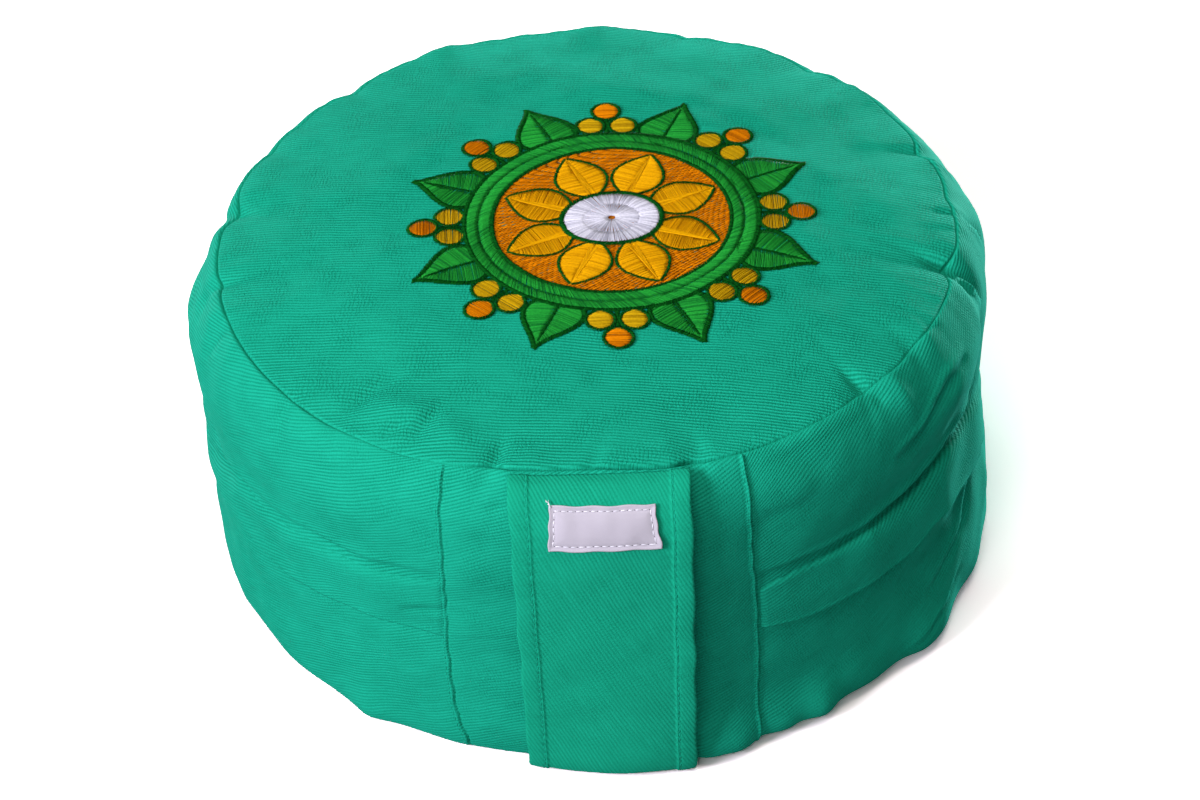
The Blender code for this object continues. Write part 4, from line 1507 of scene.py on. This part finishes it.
# %% Strap path
STRAP_CENTRE_MM = -2.2
STRAP_TOP_MM = 70.0
STRAP_BOTTOM_MM = 66.5
STRAP_HALF_THICKNESS = 1.1
STRAP_LEAN_MM = 0.8
HEM_MM = 7.4

# Height, distance in front of the axis, bend of the sides and twist, in mm, from the top seam
# down to the base.
STRAP_PATH = (
    (142.2, 151.4, 0.8, 0.0), (141.9, 157.6, 1.6, 0.1), (137.8, 163.9, 2.4, 0.5),
    (128.0, 168.9, 2.4, 1.2), (112.0, 171.6, 2.2, 2.0), (95.0, 172.9, 2.0, 2.8),
    (72.0, 173.7, 2.0, 3.4), (48.0, 173.8, 2.2, 4.2), (28.0, 173.7, 3.0, 5.0),
    (13.0, 173.1, 4.4, 6.0), (5.5, 171.5, 5.2, 6.4), (2.4, 168.2, 5.2, 6.4),
)  # fmt: skip
STRAP_COLUMNS = [np.array(column) for column in zip(*STRAP_PATH)]
strap_ways, strap_lengths = lengths_along(STRAP_COLUMNS[:2])
STRAP_LENGTH = strap_lengths[-1]


def strap_middle(x, down):
    """Points of the strap's middle layer in mm, at x from its centre line and a length down it."""
    way = np.interp(down, strap_lengths, strap_ways)
    height, out, bow, twist = (curve_through(column, way) for column in STRAP_COLUMNS)
    across = 2.0 * x / STRAP_TOP_MM
    height = height - STRAP_LEAN_MM * across * np.exp(-down / 12.0)
    y = bow * across**2 - 0.5 * twist * across - out
    return np.stack(np.broadcast_arrays(STRAP_CENTRE_MM + x, y, height), axis=-1)


def on_strap(x, down, raised=0.0):
    """Points on the strap, raised off its middle layer by mm, and the directions there."""
    given = (np.asarray(value, float) for value in (x, down, raised))
    x, down, raised = np.broadcast_arrays(*given)
    step = 0.4
    upper = strap_middle(x, np.maximum(down - step, 0.0))
    lower = strap_middle(x, np.minimum(down + step, STRAP_LENGTH))
    right = strap_middle(x + step, down) - strap_middle(x - step, down)
    facing = np.cross(right, upper - lower)
    facing = facing / np.linalg.norm(facing, axis=-1, keepdims=True)
    return (strap_middle(x, down) + facing * raised[..., None]) * MM, facing


# %% Strap cloth
STRAP_EDGE_COLUMNS_MM = (
    0.0, 0.25, 0.6, 1.1, 1.9, 2.9, 4.0, 5.0, 5.7, 6.2, 6.6, 6.9, 7.2, 7.5, 7.8, 8.2, 8.8, 9.6,
)  # fmt: skip
STRAP_STEP_MM = 1.1
STRAP_INNER_COLUMNS = 49
STRAP_END_MM = 6.0
HEM_STITCH_MM = 2.5
HEM_SEWN_MM = 0.6
STRAP_RIB_DEGREES = -64.0


def strap_edge(down):
    """Half the strap's width in mm at a length down it."""
    return 0.5 * (STRAP_TOP_MM + (STRAP_BOTTOM_MM - STRAP_TOP_MM) * down / STRAP_LENGTH)


def strap_relief(x, down, edge):
    """Height in mm of the strap's face above its flat: hems, grooves, waves and rounded sides."""
    inside = edge - np.abs(x)
    hem = 0.50 * (1.0 - rise(inside, HEM_MM + 0.1, HEM_MM + 0.9))
    puff = 0.22 * bell(inside - 3.6, 2.6)
    stitch = 2.0 * math.pi * down / HEM_STITCH_MM
    groove = -0.26 * bell(inside - HEM_MM + HEM_SEWN_MM, 0.42) * (0.75 + 0.25 * np.cos(stitch))
    pull = 0.10 * np.cos(0.5 * stitch + 0.7 * np.sign(x)) * bell(inside - HEM_MM, 3.0)
    soft = lumps(x, down, (0.42, 44.0, 41), (0.13, 17.0, 42))
    hollow = -0.75 * bell(down - 92.0 + 0.35 * x, 9.0) * bell(x + 6.0, 24.0)
    side = -0.85 * (1.0 - np.sqrt(1.0 - (1.0 - np.clip(inside / 1.2, 0.0, 1.0)) ** 2))
    ends = rise(down, 0.0, STRAP_END_MM) * rise(STRAP_LENGTH - down, 0.0, STRAP_END_MM)
    return hem + puff + groove + pull + side + (soft + hollow) * ends


def strap_grid():
    """x and length down of the strap's points, on more columns at its hems."""
    down = np.linspace(0.0, STRAP_LENGTH, round(STRAP_LENGTH / STRAP_STEP_MM) + 1)
    edge = strap_edge(down)
    close = np.array(STRAP_EDGE_COLUMNS_MM)
    inner = np.linspace(-1.0, 1.0, STRAP_INNER_COLUMNS)[:, None] * (edge - close[-1] - 1.0)
    left = close[:, None] - edge
    x = np.concatenate((left, inner, -left[::-1])).T
    return x, np.broadcast_to(down[:, None], x.shape), np.broadcast_to(edge[:, None], x.shape)


def build_strap():
    """The strap, front and back."""
    x, down, edge = strap_grid()
    wander = lumps(down, 0.0, (0.22, 21.0, 43)) * np.abs(x / edge) ** 3
    face, _ = on_strap(x + wander, down, STRAP_HALF_THICKNESS + strap_relief(x, down, edge))
    rounding = 0.5 * (1.0 - rise(edge - np.abs(x), 0.0, 1.0))
    back, _ = on_strap(x + wander, down, -STRAP_HALF_THICKNESS + rounding)
    found = turned(x, -down, STRAP_RIB_DEGREES)
    found[..., 1] += lumps(x, down, (0.5, 60.0, 44)) + (np.abs(x) > edge - HEM_MM) * 0.7
    return sheet_mesh("carry_strap_cloth", back, face, found * MM)


strap = add_piece("carry_strap_cloth", build_strap(), strap_twill)
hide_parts("carry_strap")
print("strap:", round(STRAP_LENGTH, 1), "mm of cloth shows")

# %% [markdown]
# ## The label
#
# A small woven tape is stitched to the strap all round its border. It is bare. Its edges are cut
# and pressed, so they wander a little, and its lower right corner has worked loose and flares.

# %% Label
LABEL_WIDTH_MM = 41.0
LABEL_HEIGHT_MM = 17.2
LABEL_TOP_MM = 13.8
LABEL_CENTRE_MM = 0.8
LABEL_FLARE = 0.03
LABEL_GAP_MM = 0.65
LABEL_COLUMNS, LABEL_ROWS = 83, 45
LABEL_THICKNESS_MM = 0.45
LABEL_BORDER_MM = 1.9


def label_place(across, share):
    """x and length down the strap of places on the label: -1 to 1 across, 0 to 1 down it."""
    breadth = 0.5 * LABEL_WIDTH_MM * (1.0 + LABEL_FLARE * (2.0 * share - 1.0))
    flare = 0.9 * rise(across, 0.7, 1.0) * rise(share, 0.45, 1.0)
    edge_wave = 0.22 * np.sin(5.0 * share * math.pi + 1.0) * np.sign(across) * np.abs(across) ** 6
    x = LABEL_CENTRE_MM + across * breadth + flare + edge_wave
    dip = 0.20 * np.sin(3.0 * across * math.pi) * (2.0 * share - 1.0) ** 4
    slope = across * (0.45 - 0.25 * share)
    return x, LABEL_TOP_MM + LABEL_HEIGHT_MM * share + dip + slope


def label_height(across, share):
    """How far in mm the label's back lies off the strap's middle layer."""
    x, down = label_place(across, share)
    ground = STRAP_HALF_THICKNESS + np.maximum(strap_relief(x, down, 0.5 * STRAP_TOP_MM), -0.1)
    from_side = (1.0 - np.abs(across)) * 0.5 * LABEL_WIDTH_MM
    inset = np.minimum(from_side, (0.5 - np.abs(share - 0.5)) * LABEL_HEIGHT_MM)
    sewn = -0.22 * bell(inset - LABEL_BORDER_MM, 0.7)
    puff = 0.25 * rise(inset, LABEL_BORDER_MM, 6.0)
    corner = bell(across - 1.0, 0.09) * bell(share - 0.85, 0.12)
    lifted = 0.30 * (1.0 - rise(inset, 0.0, 1.4)) + 0.5 * corner
    ripple = lumps(x, down, (0.10, 9.0, 51))
    return ground + LABEL_GAP_MM + puff + lifted + sewn + ripple


def build_label():
    """The bare label."""
    across, share = np.meshgrid(np.linspace(-1.0, 1.0, LABEL_COLUMNS), np.linspace(0.0, 1.0, LABEL_ROWS))
    x, down = label_place(across, share)
    off = label_height(across, share)
    back, _ = on_strap(x, down, off)
    face, _ = on_strap(x, down, off + LABEL_THICKNESS_MM)
    return sheet_mesh("label_tape", back, face, np.stack((x, -down), axis=-1) * MM)


label = add_piece("label_tape", build_label(), label_tape)
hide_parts("label")
print("label:", LABEL_WIDTH_MM, "by", LABEL_HEIGHT_MM, "mm")

# %% [markdown]
# ## Thread
#
# A stitch is a short strand that comes up through the cloth, bows over and goes down again. One
# function turns any number of stitches into one mesh of rounded strands. It takes their middle
# lines as an array, stitch by point, and the outward direction at each point. Each stitch also
# gets a tone of its own, which the thread material reads.

# %% Strands
def strands_mesh(name, lines, facing, width, lift, seed=1, tone_range=(0.2, 0.9)):
    """Closed three-sided strands along lines (stitch, point, xyz), of a width and a lift in mm."""
    stitches, steps = lines.shape[:2]
    width, lift = np.broadcast_to(width, stitches), np.broadcast_to(lift, stitches)
    share = np.linspace(0.0, 1.0, steps)
    arch = np.clip(np.sin(math.pi * share), 0.0, 1.0) ** 0.5
    taper = 0.55 + 0.45 * np.clip(np.sin(math.pi * share) * 2.0, 0.0, 1.0)
    along = np.gradient(lines, axis=1)
    side = np.cross(along, facing)
    side = side / np.maximum(np.linalg.norm(side, axis=-1, keepdims=True), 1e-12)
    half = 0.5 * (width[:, None] * taper)[..., None] * MM
    crest = lines + facing * ((lift[:, None] * (0.25 + 0.75 * arch))[..., None] * MM)
    low = lines + facing * ((lift[:, None] * arch * 0.35 - 0.1)[..., None] * MM)
    ring = np.stack((low - side * half, crest, low + side * half), axis=2)
    base = (np.arange(stitches)[:, None] * steps + np.arange(steps - 1)[None, :]) * 3
    faces = []
    for a, b in ((0, 1), (1, 2), (2, 0)):
        quads = np.stack((base + a, base + b, base + b + 3, base + a + 3), axis=-1)
        faces.append(quads.reshape(-1, 4))
    start = np.arange(stitches) * steps * 3
    end = start + (steps - 1) * 3
    caps = [np.stack((start + 2, start + 1, start), 1), np.stack((end, end + 1, end + 2), 1)]
    data = bpy.data.meshes.new(name)
    faces = np.concatenate(faces).tolist() + np.concatenate(caps).tolist()
    data.from_pydata(ring.reshape(-1, 3).tolist(), [], faces)
    random = np.random.default_rng(seed)
    tone = np.repeat(random.uniform(*tone_range, stitches), steps * 3)
    store(data, "stitch_tone", tone)
    return data


def join_meshes(name, parts):
    """One mesh from several strand meshes."""
    work = bmesh.new()
    for part in parts:
        work.from_mesh(part)
        bpy.data.meshes.remove(part)
    data = bpy.data.meshes.new(name)
    work.to_mesh(data)
    work.free()
    return data


# %% Sewing of the strap, the seams and the label
STITCH_WAYS = np.linspace(0.0, 1.0, 4)
STITCH_SHARE, LABEL_STITCH_SHARE = 0.7, 0.72
SEAM_STITCH_MM = 2.7
SEAM_STITCH_SIDE_MM = 1.75
LABEL_STITCH_MM = 2.9


def running_stitches(length, pitch):
    """Distances along a row of running stitches, at four points of each stitch."""
    starts = np.arange(0.5 * pitch, length - pitch, pitch)[:, None]
    return starts + STITCH_SHARE * pitch * STITCH_WAYS


def strap_stitches():
    """The two rows of stitches that hold the hems."""
    down = running_stitches(STRAP_LENGTH, HEM_STITCH_MM)
    edge = strap_edge(down)
    parts = []
    for number, side in enumerate((-1.0, 1.0)):
        x = side * (edge - HEM_MM + HEM_SEWN_MM)
        lines, facing = on_strap(x, down, STRAP_HALF_THICKNESS + strap_relief(x, down, edge) + 0.10)
        parts.append(strands_mesh("hem", lines, facing, 0.50, 0.16, seed=61 + number))
    return parts


def upright_stitches():
    """The stitches along the two upright seams."""
    from_seam = 3.0 + running_stitches(WALL_LENGTH - 4.0, SEAM_STITCH_MM)
    parts = []
    for number, seam in enumerate(UPRIGHT_SEAMS):
        around = seam - math.degrees(SEAM_STITCH_SIDE_MM * MM / WALL_RADIUS)
        lines, facing = on_cover(around, from_seam, 0.05)
        parts.append(strands_mesh("upright", lines, facing, 0.5, 0.24, seed=63 + number))
    return parts


def label_border():
    """Places of the border stitches' ends on the label: (across, share) at each start and end."""
    wide = 1.0 - 2.0 * LABEL_BORDER_MM / LABEL_WIDTH_MM
    high = LABEL_BORDER_MM / LABEL_HEIGHT_MM
    corners = ((-wide, high), (wide, high), (wide, 1.0 - high), (-wide, 1.0 - high))
    starts, ends = [], []
    for (a, b), (c, d) in zip(corners, corners[1:] + corners[:1]):
        length = math.hypot((c - a) * 0.5 * LABEL_WIDTH_MM, (d - b) * LABEL_HEIGHT_MM)
        count = round(length / LABEL_STITCH_MM)
        for n in range(count):
            starts.append((a + (c - a) * n / count, b + (d - b) * n / count))
            end = n + LABEL_STITCH_SHARE
            ends.append((a + (c - a) * end / count, b + (d - b) * end / count))
    return np.array(starts), np.array(ends)


def label_points(places, raised):
    """Points on the label's face, raised by a distance in mm."""
    across, share = places[..., 0], places[..., 1]
    x, down = label_place(across, share)
    return on_strap(x, down, label_height(across, share) + LABEL_THICKNESS_MM + raised)


def label_stitches():
    """The white stitches round the label."""
    starts, ends = label_border()
    places = starts[:, None] + (ends - starts)[:, None] * STITCH_WAYS[:, None]
    lines, facing = label_points(places, 0.05)
    return strands_mesh("label_border", lines, facing, 0.50, 0.26, seed=66, tone_range=(0.5, 1.0))


def label_hole_shades():
    """Small dark marks between the stitches: painted shade of the needle holes in the tape."""
    starts, ends = label_border()
    gap = (np.roll(starts, -1, axis=0) - ends) * 0.5
    steps = np.linspace(-0.55, 0.55, 3)[:, None]
    middle = ends + gap
    keep = np.hypot(*(gap * (0.5 * LABEL_WIDTH_MM, LABEL_HEIGHT_MM)).T) < 1.4
    lines, facing = label_points(middle[keep][:, None] + gap[keep][:, None] * steps, 0.02)
    return strands_mesh("label_hole_shades", lines, facing, 0.60, 0.12, seed=67)


def loose_tuft():
    """The cut end of the sewing thread at the label's upper left corner."""
    random = np.random.default_rng(68)
    share = np.linspace(0.0, 1.0, 9)
    lines, facings = [], []
    for _ in range(5):
        reach, climb = random.uniform(-0.4, 1.4), random.uniform(1.4, 3.6)
        curl = random.uniform(-1.2, 1.2)
        x, down = label_place(np.array(-0.97), np.array(0.06))
        path_x = x - reach * share + 0.3 * np.sin(6.0 * share + curl)
        path_down = down - climb * share + 0.4 * np.sin(5.0 * share * curl)
        off = STRAP_HALF_THICKNESS + 0.9 + 0.9 * np.sin(math.pi * share) * random.uniform(0.3, 1.0)
        line, facing = on_strap(path_x, path_down, off)
        lines.append(line)
        facings.append(facing)
    lines, facings = np.array(lines), np.array(facings)
    return strands_mesh("tuft", lines, facings, 0.24, 0.2, seed=69, tone_range=(0.6, 1.0))


def add_sewing(name, parts, thread):
    """Puts the meshes of some stitches in the scene as one piece."""
    return add_piece(name, join_meshes(name, parts), threads[thread])


green = strap_stitches() + upright_stitches()
sewing = add_sewing("sewing_stitches", green, "sewing_green")
white = [label_stitches(), loose_tuft()]
label_sewing = add_sewing("label_stitches", white, "sewing_white")
# The needle holes are dark marks of painted shade on the tape.
add_piece("label_needle_hole_shade", label_hole_shades(), threads["painted_hole_shade"])
print("sewing:", len(sewing.data.polygons) + len(label_sewing.data.polygons), "faces")

# %% [markdown]
# ## The embroidered medallion
#
# The top carries a medallion about 174 mm across, of a flower in a ring with leaves and berries
# round it, in green, gold, yellow, orange and white thread. An embroidery machine covers a shape
# in two ways: satin stitches run from one edge to the other, and fill stitches run in rows of
# short steps. Both are worked out flat, in mm from the medallion's middle, as start and end
# points with a height above the cloth, and then laid on the crowned top. The shapes are formulas:
# a width along a centre line.

# %% Stitch lists
Layer = namedtuple("Layer", "starts ends height width lift")
medallion = {}
stitch_random = np.random.default_rng(77)
STITCH_JITTER_MM = 0.10
FILL_STEP_MM, FILL_LEAST_STEPS = 0.35, 3
ROW_SHIFT, END_GAP_MM = 0.38, 0.8


def sew(thread, starts, ends, height, width, lift):
    """Adds stitches to a thread's list, their ends a little uneven."""
    jitter = stitch_random.normal(0.0, STITCH_JITTER_MM, (2, len(starts), 2))
    layer = Layer(starts + jitter[0], ends + jitter[1], height, width, lift)
    medallion.setdefault(thread, []).append(layer)


def directions(degrees):
    """The directions outwards and to the left of that, as rows, at an angle on the flat."""
    turn = math.radians(degrees)
    return np.array(((math.cos(turn), math.sin(turn)), (-math.sin(turn), math.cos(turn))))


def satin(first, second, spacing):
    """Stitches from one edge to another. The edges are arrays of points that match one another."""
    middle = 0.5 * (first + second)
    lengths = np.concatenate(([0.0], np.cumsum(np.linalg.norm(np.diff(middle, axis=0), axis=1))))
    wanted = np.arange(0.0, lengths[-1], spacing)

    def along(edge):
        return np.stack([np.interp(wanted, lengths, edge[:, axis]) for axis in (0, 1)], axis=1)

    return along(first), along(second)


def fill(inside, degrees, spacing, stitch, radius):
    """Rows of short stitches at an angle, wherever inside(x, y) is true within a radius."""
    ux, uy = directions(degrees)[0]
    starts, ends = [], []
    along = np.arange(-radius, radius, FILL_STEP_MM)
    for number, offset in enumerate(np.arange(-radius, radius, spacing)):
        x, y = along * ux - offset * uy, along * uy + offset * ux
        held = inside(x, y).astype(int)
        edges = np.flatnonzero(np.diff(np.concatenate(([0], held, [0]))))
        for low, high in zip(edges[::2], edges[1::2]):
            if high - low < FILL_LEAST_STEPS:
                continue
            a, b = along[low], along[high - 1]
            cuts = np.arange(a - (number * ROW_SHIFT % 1.0) * stitch, b, stitch)
            cuts = cuts[(cuts > a + END_GAP_MM) & (cuts < b - END_GAP_MM)]
            cuts = np.concatenate(([a], cuts, [b]))
            for p, q in zip(cuts, cuts[1:]):
                starts.append((p * ux - offset * uy, p * uy + offset * ux))
                ends.append((q * ux - offset * uy, q * uy + offset * ux))
    return np.array(starts), np.array(ends)


def leaf_edges(degrees, start, end, half_width, power, tip):
    """Left edge, right edge and centre line of a leaf or petal that grows outwards."""
    share = np.linspace(0.0, 1.0, 60)
    width = half_width * np.sin(math.pi * share**power) ** 0.75 * (1.0 - share) ** tip
    out, side = directions(degrees)
    centre = out * (start + (end - start) * share)[:, None]
    return centre + side * width[:, None], centre - side * width[:, None], centre


def circle(radius, points=240):
    """Points round a circle, or round an ellipse of two radii."""
    angle = np.linspace(0.0, 2.0 * math.pi, points)
    return np.stack((np.cos(angle), np.sin(angle)), axis=1) * radius


EDGE_SPACING, EDGE_WIDTH, FINE_WIDTH = 0.62, 0.66, 0.62


def sew_edge(line, breadth, height, lift, width=EDGE_WIDTH):
    """Sews dark satin across a line, which makes a raised cord of it."""
    along = np.gradient(line, axis=0)
    along /= np.maximum(np.linalg.norm(along, axis=1, keepdims=True), 1e-9)
    side = np.stack((-along[:, 1], along[:, 0]), axis=1)
    slant = 0.5 * breadth * side + 0.3 * breadth * along
    sew("deep_green", *satin(line - slant, line + slant, EDGE_SPACING), height, width, lift)


# %% Leaves and berries of the rim
RIM_COUNT = 8
LEAF = {"start": 55.0, "end": 88.0, "half_width": 17.0, "power": 0.85, "tip": 0.62}
BERRIES = ((66.5, -6.8, "gold_thread"), (66.5, 6.8, "gold_thread"), (77.5, 0.0, "orange_thread"))
BERRY_RADIUS = 5.9
STEM = ((58.0, 0.0), (72.0, 0.0))
STITCH_MM = 0.55


def sew_leaf(degrees):
    """A pointed green leaf: two rows of slanting satin that meet at its rib, and a dark edge."""
    left, right, centre = leaf_edges(degrees, **LEAF)
    ahead = np.roll(centre, 6, axis=0)
    ahead[:6] = centre[0]
    for edge in (left, right):
        sew("leaf_green", *satin(ahead, edge, STITCH_MM), 0.15, FINE_WIDTH, 0.42)
    for edge in (left, right):
        sew_edge(edge, 2.3, 0.45, 0.5)
    sew_edge(centre[6:-8], 1.1, 0.45, 0.35, width=0.6)


def sew_berries(degrees):
    """Three round berries on a stem: satin discs with dark edges."""
    outwards = directions(degrees)
    sew_edge(np.linspace(*STEM, 20) @ outwards, 2.2, 0.40, 0.4)
    for out, side, thread in BERRIES:
        disc = (circle(BERRY_RADIUS, points=61) + (out, side)) @ outwards
        sew(thread, *satin(disc[:31], disc[:29:-1], EDGE_SPACING), 0.45, 0.66, 0.5)
        sew_edge(disc, 1.6, 0.7, 0.45, FINE_WIDTH)


for number in range(RIM_COUNT):
    sew_leaf(360.0 * (number + 0.5) / RIM_COUNT)
for number in range(RIM_COUNT):
    sew_berries(360.0 * number / RIM_COUNT)
print("rim sewn in", ", ".join(medallion))

# %% Ring, ground, daisy and centre
RING_INNER, RING_OUTER = 49.0, 60.5
DAISY_COUNT = 8
DAISY = {"start": 17.0, "end": 46.5, "half_width": 11.5, "power": 0.95, "tip": 0.10}
CENTRE_RADII = (20.5, 17.5)
RING_SLANT, GROUND_SLANT = 9.0, 24.0
GROUND_STITCH_MM = 5.0
SATIN_WIDTH = 0.64


def sew_ring():
    """The broad green ring, in slanting satin between two dark edges."""
    inner, outer = circle(RING_INNER), circle(RING_OUTER) @ directions(RING_SLANT)
    halfway = 0.5 * (inner + outer)
    for first, second in ((inner, halfway), (halfway, outer)):
        sew("leaf_green", *satin(first, second, STITCH_MM), 0.55, SATIN_WIDTH, 0.5)
    sew_edge(circle(RING_INNER), 1.7, 0.8, 0.45)
    sew_edge(circle(RING_OUTER), 1.9, 0.8, 0.45)


def in_ring(x, y):
    """True inside the ring."""
    return np.hypot(x, y) < RING_INNER + 0.3


def sew_ground():
    """The orange ground inside the ring."""
    stitches = fill(in_ring, GROUND_SLANT, EDGE_SPACING, GROUND_STITCH_MM, RING_INNER + 1.0)
    sew("orange_thread", *stitches, 0.20, 0.74, 0.42)


def sew_daisy(degrees):
    """A yellow petal of the inner flower, in satin, with a thin dark edge."""
    left, right, centre = leaf_edges(degrees, **DAISY)
    for edge in (left, right):
        stitches = satin(edge, np.roll(centre, 2, axis=0), STITCH_MM)
        sew("yellow_thread", *stitches, 0.55, SATIN_WIDTH, 0.5)
        sew_edge(edge, 1.3, 0.8, 0.4, FINE_WIDTH)


def sew_centre():
    """The white middle, in satin that runs out from its centre, with a dark edge."""
    rim = circle(CENTRE_RADII, points=200)
    sew("white_thread", *satin(rim * 0.08, rim * 0.62, 0.42), 1.0, 0.5, 0.4)
    sew("white_thread", *satin(rim * 0.52, rim, 0.52), 0.9, 0.62, 0.6)
    sew_edge(rim, 2.4, 1.1, 0.5)


sew_ground()
for number in range(DAISY_COUNT):
    sew_daisy(360.0 * (number + 0.5) / DAISY_COUNT)
sew_centre()
sew_ring()
for thread, layers in medallion.items():
    print(thread, sum(len(layer.starts) for layer in layers), "stitches")

# %% [markdown]
# ## Laying the medallion on the cushion
#
# The flat stitches are now set down on the top. A tree of the cover's faces answers where a line
# straight down meets the cloth, so the whole design follows the crown and its small waves. Long
# stitches get more points than short ones.

# %% Medallion pieces
DROP_FROM = 0.30
# Shortest and longest stitch in mm, and the number of points that such stitches get.
LENGTH_BANDS = ((0.25, 3.0, 3), (3.0, 9.0, 4), (9.0, 60.0, 6))
cover_tree = BVHTree.FromPolygons(
    [vertex.co.copy() for vertex in cushion_cover.data.vertices],
    [tuple(face.vertices) for face in cushion_cover.data.polygons],
)


def drop_on_cover(flat_mm):
    """Points in metres on the cover below flat points in mm from the medallion's middle."""
    places = flat_mm.reshape(-1, 2) * MM + np.array((MEDALLION_X_MM * MM, 0.0))
    down = Vector((0.0, 0.0, -1.0))
    heights = [cover_tree.ray_cast(Vector((x, y, DROP_FROM)), down)[0].z for x, y in places]
    return np.column_stack((places, heights)).reshape(*flat_mm.shape[:-1], 3)


def lay_layer(layer, seed):
    """The strand meshes of one layer, short and long stitches apart."""
    spans = np.linalg.norm(layer.ends - layer.starts, axis=1)
    meshes = []
    for low, high, steps in LENGTH_BANDS:
        chosen = (spans >= low) & (spans < high)
        if not chosen.any():
            continue
        share = np.linspace(0.0, 1.0, steps)[None, :, None]
        flat = layer.starts[chosen][:, None] * (1.0 - share) + layer.ends[chosen][:, None] * share
        lines = drop_on_cover(flat)
        lines[..., 2] += layer.height * MM
        facing = np.broadcast_to(np.array((0.0, 0.0, 1.0)), lines.shape)
        meshes.append(strands_mesh("layer", lines, facing, layer.width, layer.lift, seed=seed))
    return meshes


for count, (thread, layers) in enumerate(medallion.items()):
    parts = []
    for number, layer in enumerate(layers):
        parts += lay_layer(layer, 100 * count + number)
    name = "medallion_" + thread
    piece = add_piece(name, join_meshes(name, parts), threads[thread])
    print(piece.name, len(piece.data.polygons), "faces")
